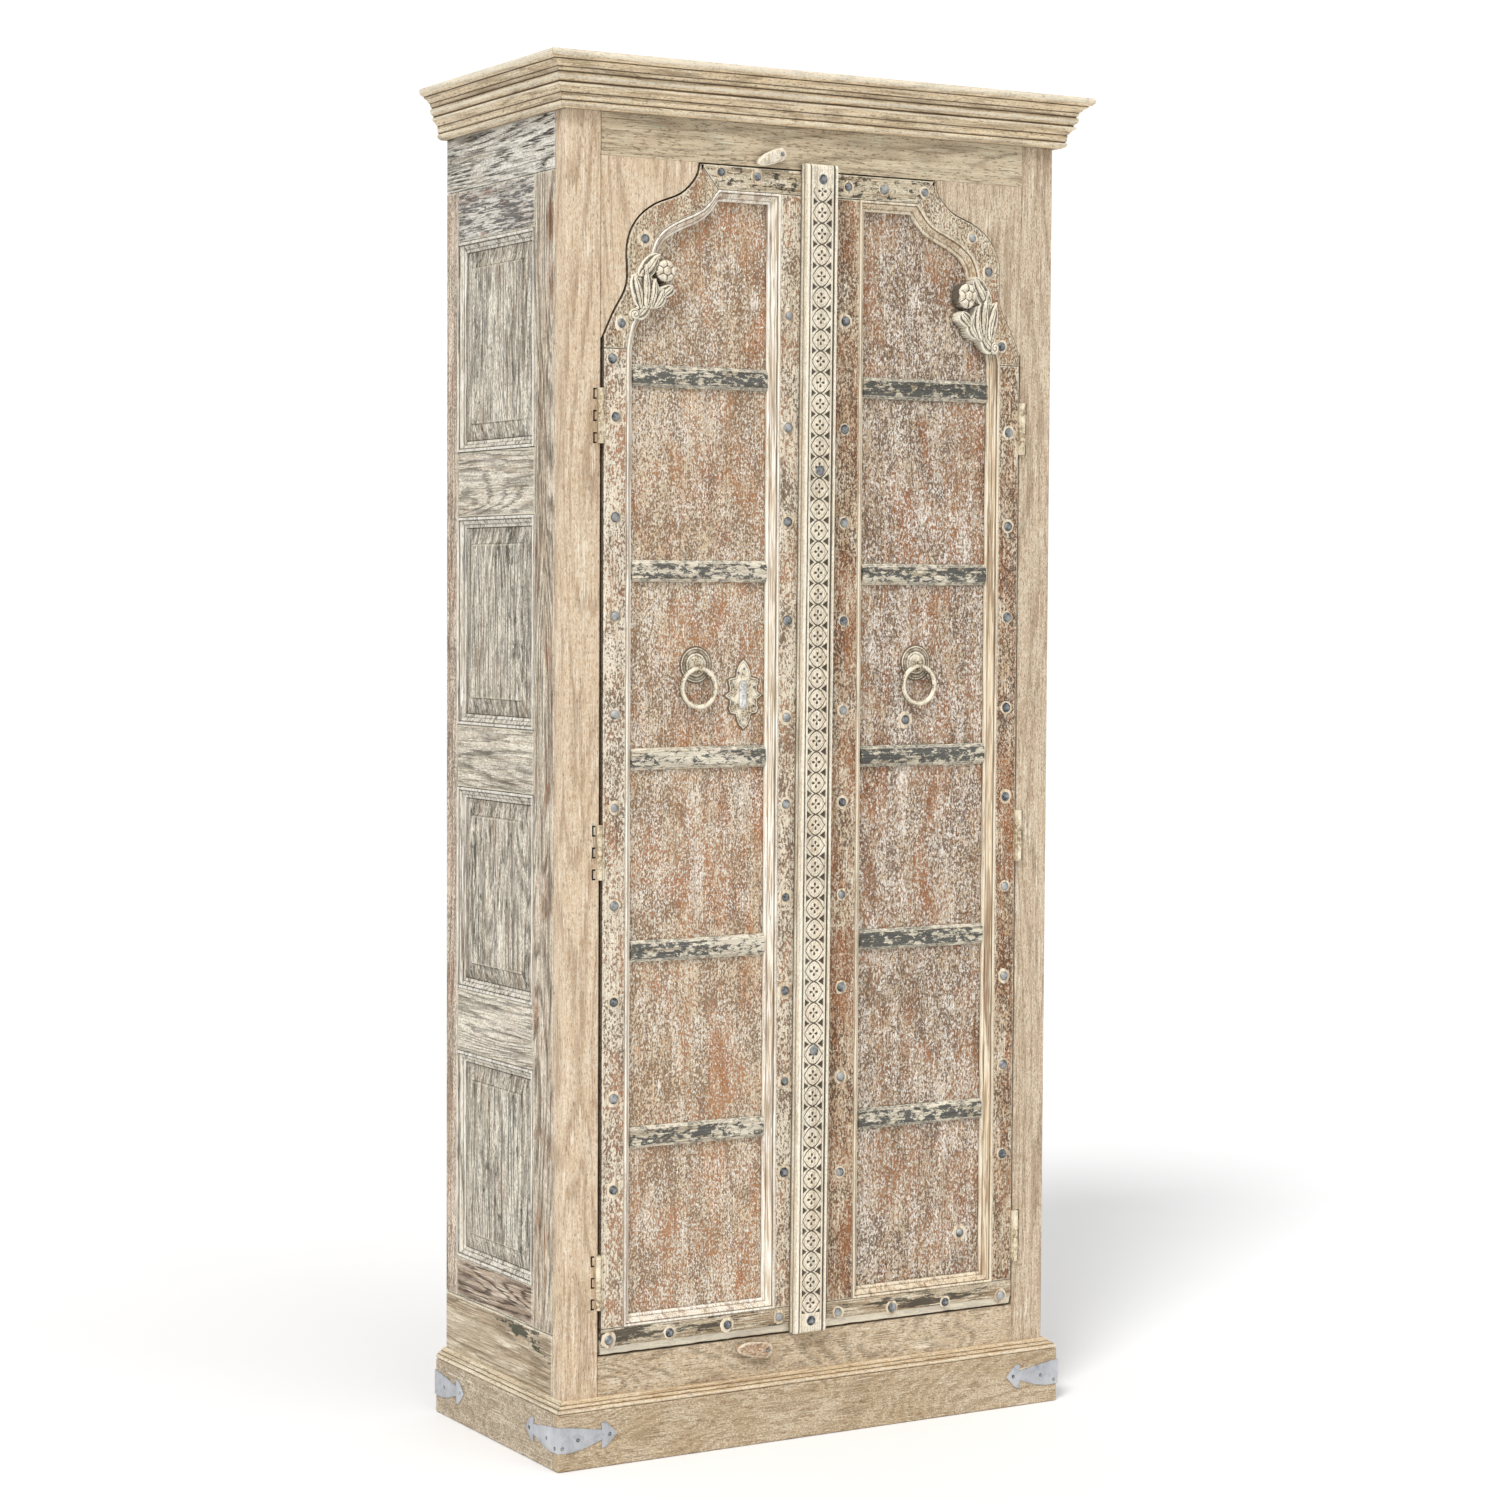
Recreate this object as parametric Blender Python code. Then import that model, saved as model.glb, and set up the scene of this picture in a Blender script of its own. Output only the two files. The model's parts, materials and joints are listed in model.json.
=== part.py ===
"""Tall two-door armoire of reclaimed wood: panelled sides, arched doors, cornice and strapped plinth.

Metres, +Z up. The origin is at the bottom centre of the object. X runs along the front, and the
front faces -Y. The left door carries a carved strip that covers the gap between the two doors.
"""

import math

import bmesh
import bpy
from mathutils import Vector

# Overall size.
WIDTH = 0.9652
DEPTH = 0.4318
HEIGHT = 2.0574
GAP = 0.0003

# The body stands back from the cornice at the front and at both sides.
CORNICE_OVERHANG = 0.048
BODY_X = WIDTH / 2 - CORNICE_OVERHANG
FRONT_Y = CORNICE_OVERHANG - DEPTH / 2
BACK_Y = DEPTH / 2
CORNICE_Z = 1.981
TOP_BOARD_THICK = 0.020
BODY_TOP = HEIGHT - TOP_BOARD_THICK - GAP

# Face frame.
FRAME_THICK = 0.033
STILE_INNER_X = 0.376
TOP_RAIL_Z = 1.9185
BOTTOM_RAIL_Z = 0.158
BOTTOM_RAIL_FOOT_Z = 0.050
FRAME_BACK_Y = FRONT_Y + FRAME_THICK

# Plinth.
PLINTH_THICK = 0.0175
PLINTH_BOARD_Z = 0.084
PLINTH_TOP_Z = 0.1004
PLINTH_X = BODY_X + GAP + PLINTH_THICK
PLINTH_Y = FRONT_Y - GAP - PLINTH_THICK
EDGE_BEVEL = 0.002

# Sides: a frame with four raised panels.
SIDE_THICK = 0.022
SIDE_OPENING_Y = (-0.072, 0.178)
SIDE_OPENINGS_Z = ((1.500, 1.820), (1.082, 1.400), (0.673, 0.985), (0.253, 0.575))
SIDE_MOULDING = 0.016
SIDE_MOULDING_DEPTH = 0.008
PANEL_BEVEL = 0.027
FIELD_SINK = 0.002
SIDE_PANEL_BACK = 0.0196

# Inside.
BACK_THICK = 0.012
BACK_FOOT_Z = 0.020
BOTTOM_BOARD_TOP = 0.1575
BOARD_THICK = 0.020
SHELF_THICK = 0.018
SHELF_TOPS = (0.520, 0.880, 1.240, 1.600)
SHELF_FRONT_Y = -0.130

# Doors.
DOOR_PROUD = 0.003
DOOR_THICK = 0.030
DOOR_FACE_Y = FRONT_Y - DOOR_PROUD
DOOR_BACK_Y = DOOR_FACE_Y + DOOR_THICK
DOOR_EDGE_X = 0.3715
DOOR_BOTTOM_Z = 0.1605
DOOR_TOP_Z = 1.916
ARCH_GAP = 0.0025
ARCH_FOOT_DROP = 0.012
MEETING_X = {"left": 0.0215, "right": 0.0240}
OPENING_HINGE_X = 0.334
OPENING_MEETING_X = {"left": 0.070, "right": 0.0715}
OPENING_BOTTOM_Z = 0.200
OPENING_TOP_Z = 1.880
MOULDING_WIDTH = 0.0155
MOULDING_DEPTH = 0.0152
MOULDING_LIP = 0.0015
CUTTER_OVERRUN = 0.005
REBATE_INSET = 0.006
PANEL_THICK = 0.010
PANEL_Y = DOOR_FACE_Y + MOULDING_DEPTH + MOULDING_LIP + GAP
BATTEN_HEIGHT = 0.032
BATTEN_PROUD = 0.009
BATTEN_CHAMFER = 0.006
BATTEN_EDGE_PROUD = 0.002
BATTEN_ROOT = 0.002
BATTENS_Z = {
    "left": (1.603, 1.317, 1.040, 0.755, 0.478),
    "right": (1.598, 1.314, 1.035, 0.752, 0.475),
}

# One half of the arch in the face frame, from the flat head to the straight jamb.
ARCH = (
    (0.2115, 1.9185),
    (0.2180, 1.8970),
    (0.2430, 1.8720),
    (0.2890, 1.8530),
    (0.3200, 1.8270),
    (0.3350, 1.7900),
    (0.3355, 1.7350),
    (0.3580, 1.6920),
    (0.3757, 1.6550),
)
# The inner edge of the door's arched band, from the top rail to the hinge stile.
BAND_EDGE = (
    (0.1790, 1.8800),
    (0.2050, 1.8500),
    (0.2520, 1.8280),
    (0.2800, 1.8080),
    (0.2940, 1.7800),
    (0.2985, 1.7420),
    (0.3100, 1.7050),
    (0.3270, 1.6740),
    (0.3340, 1.6400),
)
CURVE_STEPS = 4

# Carved strip on the left door: it leans a little, so its foot is left of its head.
STRIP_HEAD_X = -0.0070
STRIP_FOOT_X = -0.0165
STRIP_BOTTOM_Z = 0.161
STRIP_TOP_Z = 1.926
STRIP_SECTION = (
    (-0.0280, 0.0000),
    (-0.0280, 0.0150),
    (-0.0260, 0.0200),
    (-0.0220, 0.0200),
    (-0.0205, 0.0170),
    (-0.0185, 0.0190),
    (-0.0165, 0.0190),
    (-0.0155, 0.0175),
)

# Hinges: five knuckles on one pin, three held by the frame and two by the door. The pin stops
# short of the end knuckles' faces, and necks, bridges and bars reach a little into what they join.
HINGE_X = 0.378
HINGE_Y = FRONT_Y - 0.0051
HINGES_Z = {"top": 1.542, "middle": 0.905, "bottom": 0.270}
HINGE_HEIGHT = 0.080
KNUCKLES = 5
KNUCKLE_R = 0.0042
PIN_R = 0.0018
PIN_BORE_R = 0.00196
LEAF_THICK = 0.0015
LEAF_BACK_Y = -0.146
FRAME_LEAF_X = 0.3757
DOOR_LEAF_X = 0.3733
DOOR_LEAF_LIP = 0.0015
PIN_SHORT = 0.001
NECK_ROOT = 0.003
BRIDGE_HALF = 0.0012
PIN_SIDES = 12
KNUCKLE_SIDES = 16

# Ring pulls.
RING_X = {"left": -0.205, "right": 0.191}
RING_PIVOT_Z = 1.17275
RING_R = 0.02875
RING_TUBE_R = 0.0042
ROSETTE_R = 0.026
ROSETTE_Z = 1.178
ROSETTE_THICK = 0.0025
ROSETTE_RIM = 0.0012
ROSETTE_TOP_SHARE = 0.88
EYE_R = 0.0070
EYE_WIRE_R = 0.0022
ROSETTE_SIDES = 24
EYE_SIDES = 16
RING_SIDES = 28
WIRE_SIDES = 8
RING_Y = PANEL_Y - 2 * GAP - EYE_R - EYE_WIRE_R

# Lock plate on the left door's panel, with a pointed finial above and below.
LOCK_X = -0.1220
LOCK_Z = 1.1315
LOCK_THICK = 0.002
LOCK_HALF = (
    (0.0000, 0.0540),
    (0.0090, 0.0430),
    (0.0135, 0.0270),
    (0.0240, 0.0255),
    (0.0270, 0.0200),
    (0.0250, 0.0060),
    (0.0330, 0.0000),
    (0.0250, -0.0060),
    (0.0270, -0.0200),
    (0.0230, -0.0260),
    (0.0125, -0.0290),
    (0.0090, -0.0410),
    (0.0000, -0.0510),
)

# Wooden turn buttons that hold the left door shut: pivot, length and angle above the -X direction.
BUTTON_BACK_Y = -0.177
BUTTON_THICK = 0.009
BUTTON_BOSS_R = 0.007
BUTTON_BOSS_SIDES = 16
BUTTON_EASE_DEPTH = 0.003
BUTTON_EASE = 0.0025
# Outline of a button: share of its length (of its half width behind the pivot) and of its half width.
BUTTON_LEAF = (
    (-0.92, 0.38),
    (-0.60, 0.80),
    (0.00, 1.00),
    (0.25, 1.00),
    (0.55, 0.92),
    (0.80, 0.66),
    (0.96, 0.30),
    (1.00, -0.10),
    (0.92, -0.52),
    (0.70, -0.84),
    (0.40, -0.98),
    (0.00, -1.00),
    (-0.60, -0.80),
    (-0.92, -0.38),
)
BUTTONS = {
    "latch_top": {"pivot": (-0.077, 1.937), "length": 0.044, "width": 0.020, "angle": -20.0},
    "latch_bottom": {"pivot": (-0.091, 0.141), "length": 0.054, "width": 0.024, "angle": 8.0},
}

# Galvanised corner straps on the plinth: distance from the corner and height.
STRAP_THICK = 0.0014
STRAP_ARM = (
    (0.0000, 0.0670),
    (0.0400, 0.0615),
    (0.0735, 0.0560),
    (0.0722, 0.0662),
    (0.0795, 0.0664),
    (0.0992, 0.0482),
    (0.0800, 0.0292),
    (0.0732, 0.0290),
    (0.0735, 0.0410),
    (0.0400, 0.0302),
    (0.0000, 0.0280),
)

# Crown moulding and plinth moulding: distance in front of the body, height.
CORNICE_PROFILE = (
    (GAP, CORNICE_Z),
    (0.0100, CORNICE_Z),
    (0.0135, 1.9840),
    (0.0169, 1.9875),
    (0.0161, 1.9950),
    (0.0184, 2.0040),
    (0.0261, 2.0125),
    (0.0234, 2.0170),
    (0.0257, 2.0200),
    (0.0289, 2.0240),
    (0.0284, 2.0310),
    (0.0320, 2.0380),
    (0.0390, 2.0430),
    (0.0460, 2.0480),
    (CORNICE_OVERHANG, 2.0530),
    (0.0450, HEIGHT),
    (GAP, HEIGHT),
)
PLINTH_MOULDING = (
    (GAP, PLINTH_BOARD_Z + GAP),
    (0.0150, PLINTH_BOARD_Z + GAP),
    (0.0178, 0.0875),
    (0.0178, 0.0915),
    (0.0150, 0.0930),
    (0.0115, 0.0940),
    (0.0080, 0.0965),
    (0.0050, PLINTH_TOP_Z),
    (GAP, PLINTH_TOP_Z),
)

SIDES = {"left": -1, "right": 1}


def clear_scene():
    for obj in list(bpy.data.objects):
        bpy.data.objects.remove(obj, do_unlink=True)


def make_material(name, look):
    """A Principled material from a (colour, roughness, metallic) look."""
    colour, roughness, metallic = look
    material = bpy.data.materials.new(name)
    material.use_nodes = True
    shader = material.node_tree.nodes["Principled BSDF"]
    shader.inputs["Base Color"].default_value = (*colour, 1.0)
    shader.inputs["Roughness"].default_value = roughness
    shader.inputs["Metallic"].default_value = metallic
    return material


HONEY_WOOD = ((0.62, 0.47, 0.30), 0.62, 0.0)
CREAM_WOOD = ((0.70, 0.60, 0.45), 0.66, 0.0)
LIMED_WOOD = ((0.66, 0.58, 0.46), 0.72, 0.0)
WEATHERED_WOOD = ((0.47, 0.41, 0.33), 0.80, 0.0)
INNER_WOOD = ((0.48, 0.37, 0.25), 0.75, 0.0)
PAINTED_IRON = ((0.62, 0.55, 0.42), 0.50, 0.4)
HINGE_STEEL = ((0.60, 0.57, 0.48), 0.45, 0.7)
GALVANISED = ((0.55, 0.58, 0.62), 0.38, 0.9)


def rings_mesh(rings, closed=False):
    """Skins rings of equal point counts, with a cap at both ends unless they close on themselves."""
    bm = bmesh.new()
    loops = [[bm.verts.new(point) for point in ring] for ring in rings]
    pairs = list(zip(loops, loops[1:]))
    if closed:
        pairs.append((loops[-1], loops[0]))
    else:
        bm.faces.new(loops[0])
        bm.faces.new(loops[-1])
    for first, second in pairs:
        for i, corner in enumerate(first):
            j = (i + 1) % len(first)
            bm.faces.new((corner, first[j], second[j], second[i]))
    bmesh.ops.recalc_face_normals(bm, faces=bm.faces)
    return bm


def joined(meshes):
    """One bmesh that holds several others, each of which stays a closed body."""
    whole = bmesh.new()
    for part in meshes:
        mesh = bpy.data.meshes.new("joined")
        part.to_mesh(mesh)
        part.free()
        whole.from_mesh(mesh)
        bpy.data.meshes.remove(mesh)
    return whole


def box_mesh(low, high):
    corners = ((low[0], low[1]), (high[0], low[1]), (high[0], high[1]), (low[0], high[1]))
    return rings_mesh([[(x, y, z) for x, y in corners] for z in (low[2], high[2])])


def front_prism(outline, low_y, high_y):
    """A prism along Y whose outline is given as (x, z) points."""
    return rings_mesh([[(x, y, z) for x, z in outline] for y in (low_y, high_y)])


def add_object(name, bm, look, origin=(0.0, 0.0, 0.0), smooth=False):
    """An object made from a bmesh in world coordinates, with its origin moved to the given point."""
    bmesh.ops.translate(bm, verts=bm.verts, vec=-Vector(origin))
    mesh = bpy.data.meshes.new(name)
    bm.to_mesh(mesh)
    bm.free()
    if smooth:
        mesh.shade_smooth()
        mesh.set_sharp_from_angle(angle=math.radians(40))
    mesh.materials.append(make_material(name, look))
    obj = bpy.data.objects.new(name, mesh)
    obj.location = origin
    bpy.context.collection.objects.link(obj)
    return obj


def add_helper(name, bm):
    """A hidden mesh for a Boolean modifier, in triangles so that each of its faces is flat."""
    bmesh.ops.triangulate(bm, faces=bm.faces)
    obj = add_object(name, bm, HONEY_WOOD)
    obj.hide_render = True
    obj.display_type = "WIRE"
    return obj


def boolean(obj, helper, operation):
    modifier = obj.modifiers.new(helper.name, "BOOLEAN")
    modifier.operation = operation
    modifier.solver = "EXACT"
    modifier.object = helper


def bevel(obj, width):
    modifier = obj.modifiers.new("eased_edges", "BEVEL")
    modifier.width = width
    modifier.segments = 2
    modifier.limit_method = "ANGLE"


def smooth_curve(knots, steps=CURVE_STEPS):
    """Points of a Catmull-Rom curve through the knots."""
    padded = [Vector(knots[0]) * 2 - Vector(knots[1])]
    padded += [Vector(knot) for knot in knots]
    padded.append(Vector(knots[-1]) * 2 - Vector(knots[-2]))
    points = []
    for a, b, c, d in zip(padded, padded[1:], padded[2:], padded[3:]):
        for step in range(steps):
            t = step / steps
            point = 2 * b + (c - a) * t
            point += (2 * a - 5 * b + 4 * c - d) * t * t
            point += (3 * b - a - 3 * c + d) * t * t * t
            points.append(point / 2)
    points.append(padded[-2])
    return points


def offset_outline(outline, distance):
    """A closed outline moved by a distance, towards its inside when the distance is positive."""
    points = [Vector(point) for point in outline]
    area = sum(a.x * b.y - b.x * a.y for a, b in zip(points, points[1:] + points[:1]))
    turn = math.copysign(1.0, area)
    moved = []
    for before, here, after in zip(points[-1:] + points[:-1], points, points[1:] + points[:1]):
        entry = (here - before).normalized()
        leaving = (after - here).normalized()
        normals = [Vector((-edge.y, edge.x)) * turn for edge in (entry, leaving)]
        middle = (normals[0] + normals[1]).normalized()
        moved.append(here + middle * distance / max(middle.dot(normals[0]), 0.5))
    return moved


def mirrored(outline, sign):
    return [(sign * x, z) for x, z in outline]


# ---- Carcass -------------------------------------------------------------------------------


def face_frame():
    for side, sign in SIDES.items():
        x = sorted((sign * STILE_INNER_X, sign * BODY_X))
        stile = box_mesh((x[0], FRONT_Y, 0.0), (x[1], FRAME_BACK_Y - GAP, BODY_TOP))
        bevel(add_object(f"front_stile_{side}", stile, HONEY_WOOD), EDGE_BEVEL)
    reach = STILE_INNER_X - GAP
    rail = box_mesh((-reach, FRONT_Y, TOP_RAIL_Z), (reach, FRAME_BACK_Y, BODY_TOP))
    add_object("front_top_rail", rail, CREAM_WOOD)
    rail = box_mesh((-reach, FRONT_Y, BOTTOM_RAIL_FOOT_Z), (reach, FRAME_BACK_Y, BOTTOM_RAIL_Z))
    add_object("front_bottom_rail", rail, HONEY_WOOD)
    for side, sign in SIDES.items():
        curve = [(point.x, point.y) for point in smooth_curve(ARCH)]
        curve[0] = (curve[0][0], TOP_RAIL_Z - GAP)
        outline = curve + [(STILE_INNER_X - GAP, TOP_RAIL_Z - GAP)]
        board = front_prism(mirrored(outline, sign), FRONT_Y, FRAME_BACK_Y)
        add_object(f"spandrel_{side}", board, HONEY_WOOD)


def side_rect(low_y, high_y, low_z, high_z, inset):
    return (
        (low_y + inset, low_z + inset),
        (high_y - inset, low_z + inset),
        (high_y - inset, high_z - inset),
        (low_y + inset, high_z - inset),
    )


def side_walls():
    """Each side is a frame with four sloped openings, and a raised panel in each of them."""
    for side, sign in SIDES.items():
        x = sorted((sign * (BODY_X - SIDE_THICK), sign * BODY_X))
        frame = box_mesh((x[0], FRAME_BACK_Y, 0.0), (x[1], BACK_Y, BODY_TOP))
        wall = add_object(f"side_frame_{side}", frame, WEATHERED_WOOD)
        cutters = []
        for number, (low, high) in enumerate(SIDE_OPENINGS_Z, 1):
            spread = EDGE_BEVEL * SIDE_MOULDING / SIDE_MOULDING_DEPTH
            stages = (
                (BODY_X + EDGE_BEVEL, -spread),
                (BODY_X - SIDE_MOULDING_DEPTH, SIDE_MOULDING),
                (BODY_X - SIDE_THICK - EDGE_BEVEL, SIDE_MOULDING),
            )
            rings = [
                [(sign * depth, y, z) for y, z in side_rect(*SIDE_OPENING_Y, low, high, inset)]
                for depth, inset in stages
            ]
            cutters.append(rings_mesh(rings))
            stages = (
                (BODY_X - SIDE_PANEL_BACK, SIDE_MOULDING + GAP),
                (BODY_X - SIDE_MOULDING_DEPTH, SIDE_MOULDING + GAP),
                (BODY_X - FIELD_SINK, SIDE_MOULDING + PANEL_BEVEL),
            )
            rings = [
                [(sign * depth, y, z) for y, z in side_rect(*SIDE_OPENING_Y, low, high, inset)]
                for depth, inset in stages
            ]
            add_object(f"side_panel_{side}_{number}", rings_mesh(rings), WEATHERED_WOOD)
        boolean(wall, add_helper(f"side_cutter_{side}", joined(cutters)), "DIFFERENCE")


def boards():
    inner = BODY_X - SIDE_THICK - GAP
    shelf_back = BACK_Y - BACK_THICK - 2 * GAP
    panel = box_mesh((-inner, BACK_Y - BACK_THICK, BACK_FOOT_Z), (inner, BACK_Y - GAP, BODY_TOP))
    add_object("back_panel", panel, INNER_WOOD)
    low = BOTTOM_BOARD_TOP - BOARD_THICK
    board = box_mesh((-inner, FRAME_BACK_Y + GAP, low), (inner, shelf_back, BOTTOM_BOARD_TOP))
    add_object("bottom_board", board, INNER_WOOD)
    for number, top in enumerate(SHELF_TOPS, 1):
        shelf = box_mesh((-inner, SHELF_FRONT_Y, top - SHELF_THICK), (inner, shelf_back, top))
        add_object(f"shelf_{number}", shelf, INNER_WOOD)
    board = box_mesh((-BODY_X, FRONT_Y, HEIGHT - TOP_BOARD_THICK), (BODY_X, BACK_Y, HEIGHT))
    add_object("top_board", board, INNER_WOOD)


def mitred_moulding(name, profile, look):
    """Runs a profile round the front and both sides, with mitred front corners."""
    rings = []
    for sign in (-1, 1):
        rings.append([(sign * (BODY_X + out), FRONT_Y - out, z) for out, z in profile])
    add_object(f"{name}_front", rings_mesh(rings), look)
    for side, sign in SIDES.items():
        front = [(sign * (BODY_X + out), FRONT_Y - out + 2 * GAP, z) for out, z in profile]
        back = [(sign * (BODY_X + out), BACK_Y, z) for out, z in profile]
        add_object(f"{name}_{side}", rings_mesh([front, back]), look)


def plinth():
    board = box_mesh((-PLINTH_X, PLINTH_Y, 0.0), (PLINTH_X, FRONT_Y - GAP, PLINTH_BOARD_Z))
    bevel(add_object("plinth_front_board", board, HONEY_WOOD), EDGE_BEVEL)
    for side, sign in SIDES.items():
        x = sorted((sign * (BODY_X + GAP), sign * PLINTH_X))
        board = box_mesh((x[0], FRONT_Y, 0.0), (x[1], BACK_Y, PLINTH_BOARD_Z))
        bevel(add_object(f"plinth_{side}_board", board, HONEY_WOOD), EDGE_BEVEL)
    mitred_moulding("plinth_moulding", PLINTH_MOULDING, HONEY_WOOD)


def corner_straps():
    """Arrow-headed plates: the front ones wrap round the corner, the back ones lie on the sides."""
    inner = GAP
    outer = GAP + STRAP_THICK
    for side, sign in SIDES.items():
        bm = bmesh.new()
        skins = []
        for lift in (inner, outer):
            corner_x = sign * (PLINTH_X + lift)
            corner_y = PLINTH_Y - lift
            across = []
            along = []
            for u, z in STRAP_ARM[1:-1]:
                across.append(bm.verts.new((corner_x - sign * (u + lift), corner_y, z)))
                along.append(bm.verts.new((corner_x, corner_y + u + lift, z)))
            bend = [bm.verts.new((corner_x, corner_y, STRAP_ARM[k][1])) for k in (0, -1)]
            loop = [bend[0], *across, bend[1], *reversed(along)]
            bm.faces.new([bend[0], *across, bend[1]])
            bm.faces.new([bend[0], *along, bend[1]])
            skins.append(loop)
        for i, corner in enumerate(skins[0]):
            j = (i + 1) % len(skins[0])
            bm.faces.new((corner, skins[0][j], skins[1][j], skins[1][i]))
        bmesh.ops.recalc_face_normals(bm, faces=bm.faces)
        add_object(f"corner_strap_front_{side}", bm, GALVANISED)
        rings = []
        for lift in (inner, outer):
            rings.append([(sign * (PLINTH_X + lift), BACK_Y - u, z) for u, z in STRAP_ARM])
        add_object(f"corner_strap_back_{side}", rings_mesh(rings), GALVANISED)


# ---- Doors ---------------------------------------------------------------------------------


def door_axis(side):
    return (SIDES[side] * HINGE_X, HINGE_Y, 0.0)


def door_outline(side):
    """The outer edge of a door: hinge jamb, arch, flat head and meeting edge."""
    sign = SIDES[side]
    meeting = MEETING_X[side] * sign
    above = Vector((0.0, TOP_RAIL_Z))
    below = Vector((ARCH[-1][0], 0.0))
    head = [above, *smooth_curve(ARCH), below]
    arch = []
    for before, here, after in zip(head, head[1:], head[2:]):
        along = (after - before).normalized()
        arch.append(here + Vector((along.y, -along.x)) * ARCH_GAP)
    arch = [point for point in arch if point.x < DOOR_EDGE_X and point.y < DOOR_TOP_Z]
    points = [(meeting, DOOR_BOTTOM_Z), (meeting, DOOR_TOP_Z), (arch[0].x - GAP, DOOR_TOP_Z)]
    points += [tuple(point) for point in arch]
    points += [(DOOR_EDGE_X, arch[-1].y - ARCH_FOOT_DROP), (DOOR_EDGE_X, DOOR_BOTTOM_Z)]
    return mirrored(points, sign)


def opening_outline(side):
    """The edge of a door's panel opening at the face: straight sides under an arched corner."""
    meeting = OPENING_MEETING_X[side]
    points = [(meeting, OPENING_BOTTOM_Z), (meeting, OPENING_TOP_Z)]
    points += [tuple(point) for point in smooth_curve(BAND_EDGE, 3)]
    points.append((OPENING_HINGE_X, OPENING_BOTTOM_Z))
    return mirrored(points, SIDES[side])


def door_frame(side):
    """A flat frame with a sloped moulding round the opening and a rebate behind it."""
    opening = opening_outline(side)
    frame = front_prism(door_outline(side), DOOR_FACE_Y, DOOR_BACK_Y)
    frame = add_object(f"door_{side}_frame", frame, CREAM_WOOD, door_axis(side))
    spread = EDGE_BEVEL * MOULDING_WIDTH / MOULDING_DEPTH
    slope_end = DOOR_FACE_Y + MOULDING_DEPTH
    stages = (
        (DOOR_FACE_Y - EDGE_BEVEL, -spread),
        (slope_end, MOULDING_WIDTH),
        (slope_end + CUTTER_OVERRUN, MOULDING_WIDTH),
    )
    rings = [[(x, y, z) for x, z in offset_outline(opening, inset)] for y, inset in stages]
    boolean(frame, add_helper(f"door_{side}_slope", rings_mesh(rings)), "DIFFERENCE")
    rebate = front_prism(
        offset_outline(opening, REBATE_INSET), slope_end + MOULDING_LIP, DOOR_BACK_Y + EDGE_BEVEL
    )
    boolean(frame, add_helper(f"door_{side}_rebate", rebate), "DIFFERENCE")


def door_panel(side):
    """A flat panel in the rebate, with five bars across its face."""
    sign = SIDES[side]
    outline = offset_outline(opening_outline(side), REBATE_INSET + GAP)
    panel = front_prism(outline, PANEL_Y, PANEL_Y + PANEL_THICK)
    panel = add_object(f"door_{side}_panel", panel, LIMED_WOOD, door_axis(side))
    low_x = OPENING_MEETING_X[side] + MOULDING_WIDTH + GAP
    high_x = OPENING_HINGE_X - MOULDING_WIDTH - GAP
    half = BATTEN_HEIGHT / 2
    section = (
        (PANEL_Y + BATTEN_ROOT, -half),
        (PANEL_Y - BATTEN_EDGE_PROUD, -half),
        (PANEL_Y - BATTEN_PROUD, BATTEN_CHAMFER - half),
        (PANEL_Y - BATTEN_PROUD, half - BATTEN_CHAMFER),
        (PANEL_Y - BATTEN_EDGE_PROUD, half),
        (PANEL_Y + BATTEN_ROOT, half),
    )
    bars = []
    for middle in BATTENS_Z[side]:
        rings = [[(sign * x, y, middle + z) for y, z in section] for x in (low_x, high_x)]
        bars.append(rings_mesh(rings))
    boolean(panel, add_helper(f"door_{side}_bars", joined(bars)), "UNION")


def carved_strip():
    """The strip on the left door that covers the gap between the doors."""
    half = [(x, DOOR_FACE_Y - GAP - out) for x, out in STRIP_SECTION]
    section = half + [(-x, y) for x, y in reversed(half)]
    rings = [
        [(x + STRIP_FOOT_X, y, STRIP_BOTTOM_Z) for x, y in section],
        [(x + STRIP_HEAD_X, y, STRIP_TOP_Z) for x, y in section],
    ]
    add_object("astragal", rings_mesh(rings), CREAM_WOOD, door_axis("left"))


def circle(centre_x, centre_y, radius, segments):
    turns = [2 * math.pi * (k + 0.5) / segments for k in range(segments)]
    return [(centre_x + radius * math.cos(a), centre_y + radius * math.sin(a)) for a in turns]


def upright_prism(outline, low_z, high_z):
    return rings_mesh([[(x, y, z) for x, y in outline] for z in (low_z, high_z)])


def hinge_box(side, x_range, y_range, z_range):
    """A box on one side of the cabinet, from ranges that are given for the right side."""
    x = sorted(SIDES[side] * value for value in x_range)
    return box_mesh((x[0], y_range[0], z_range[0]), (x[1], y_range[1], z_range[1]))


def hinge_round(side, radius, segments, low_z, high_z):
    return upright_prism(circle(SIDES[side] * HINGE_X, HINGE_Y, radius, segments), low_z, high_z)


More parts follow.
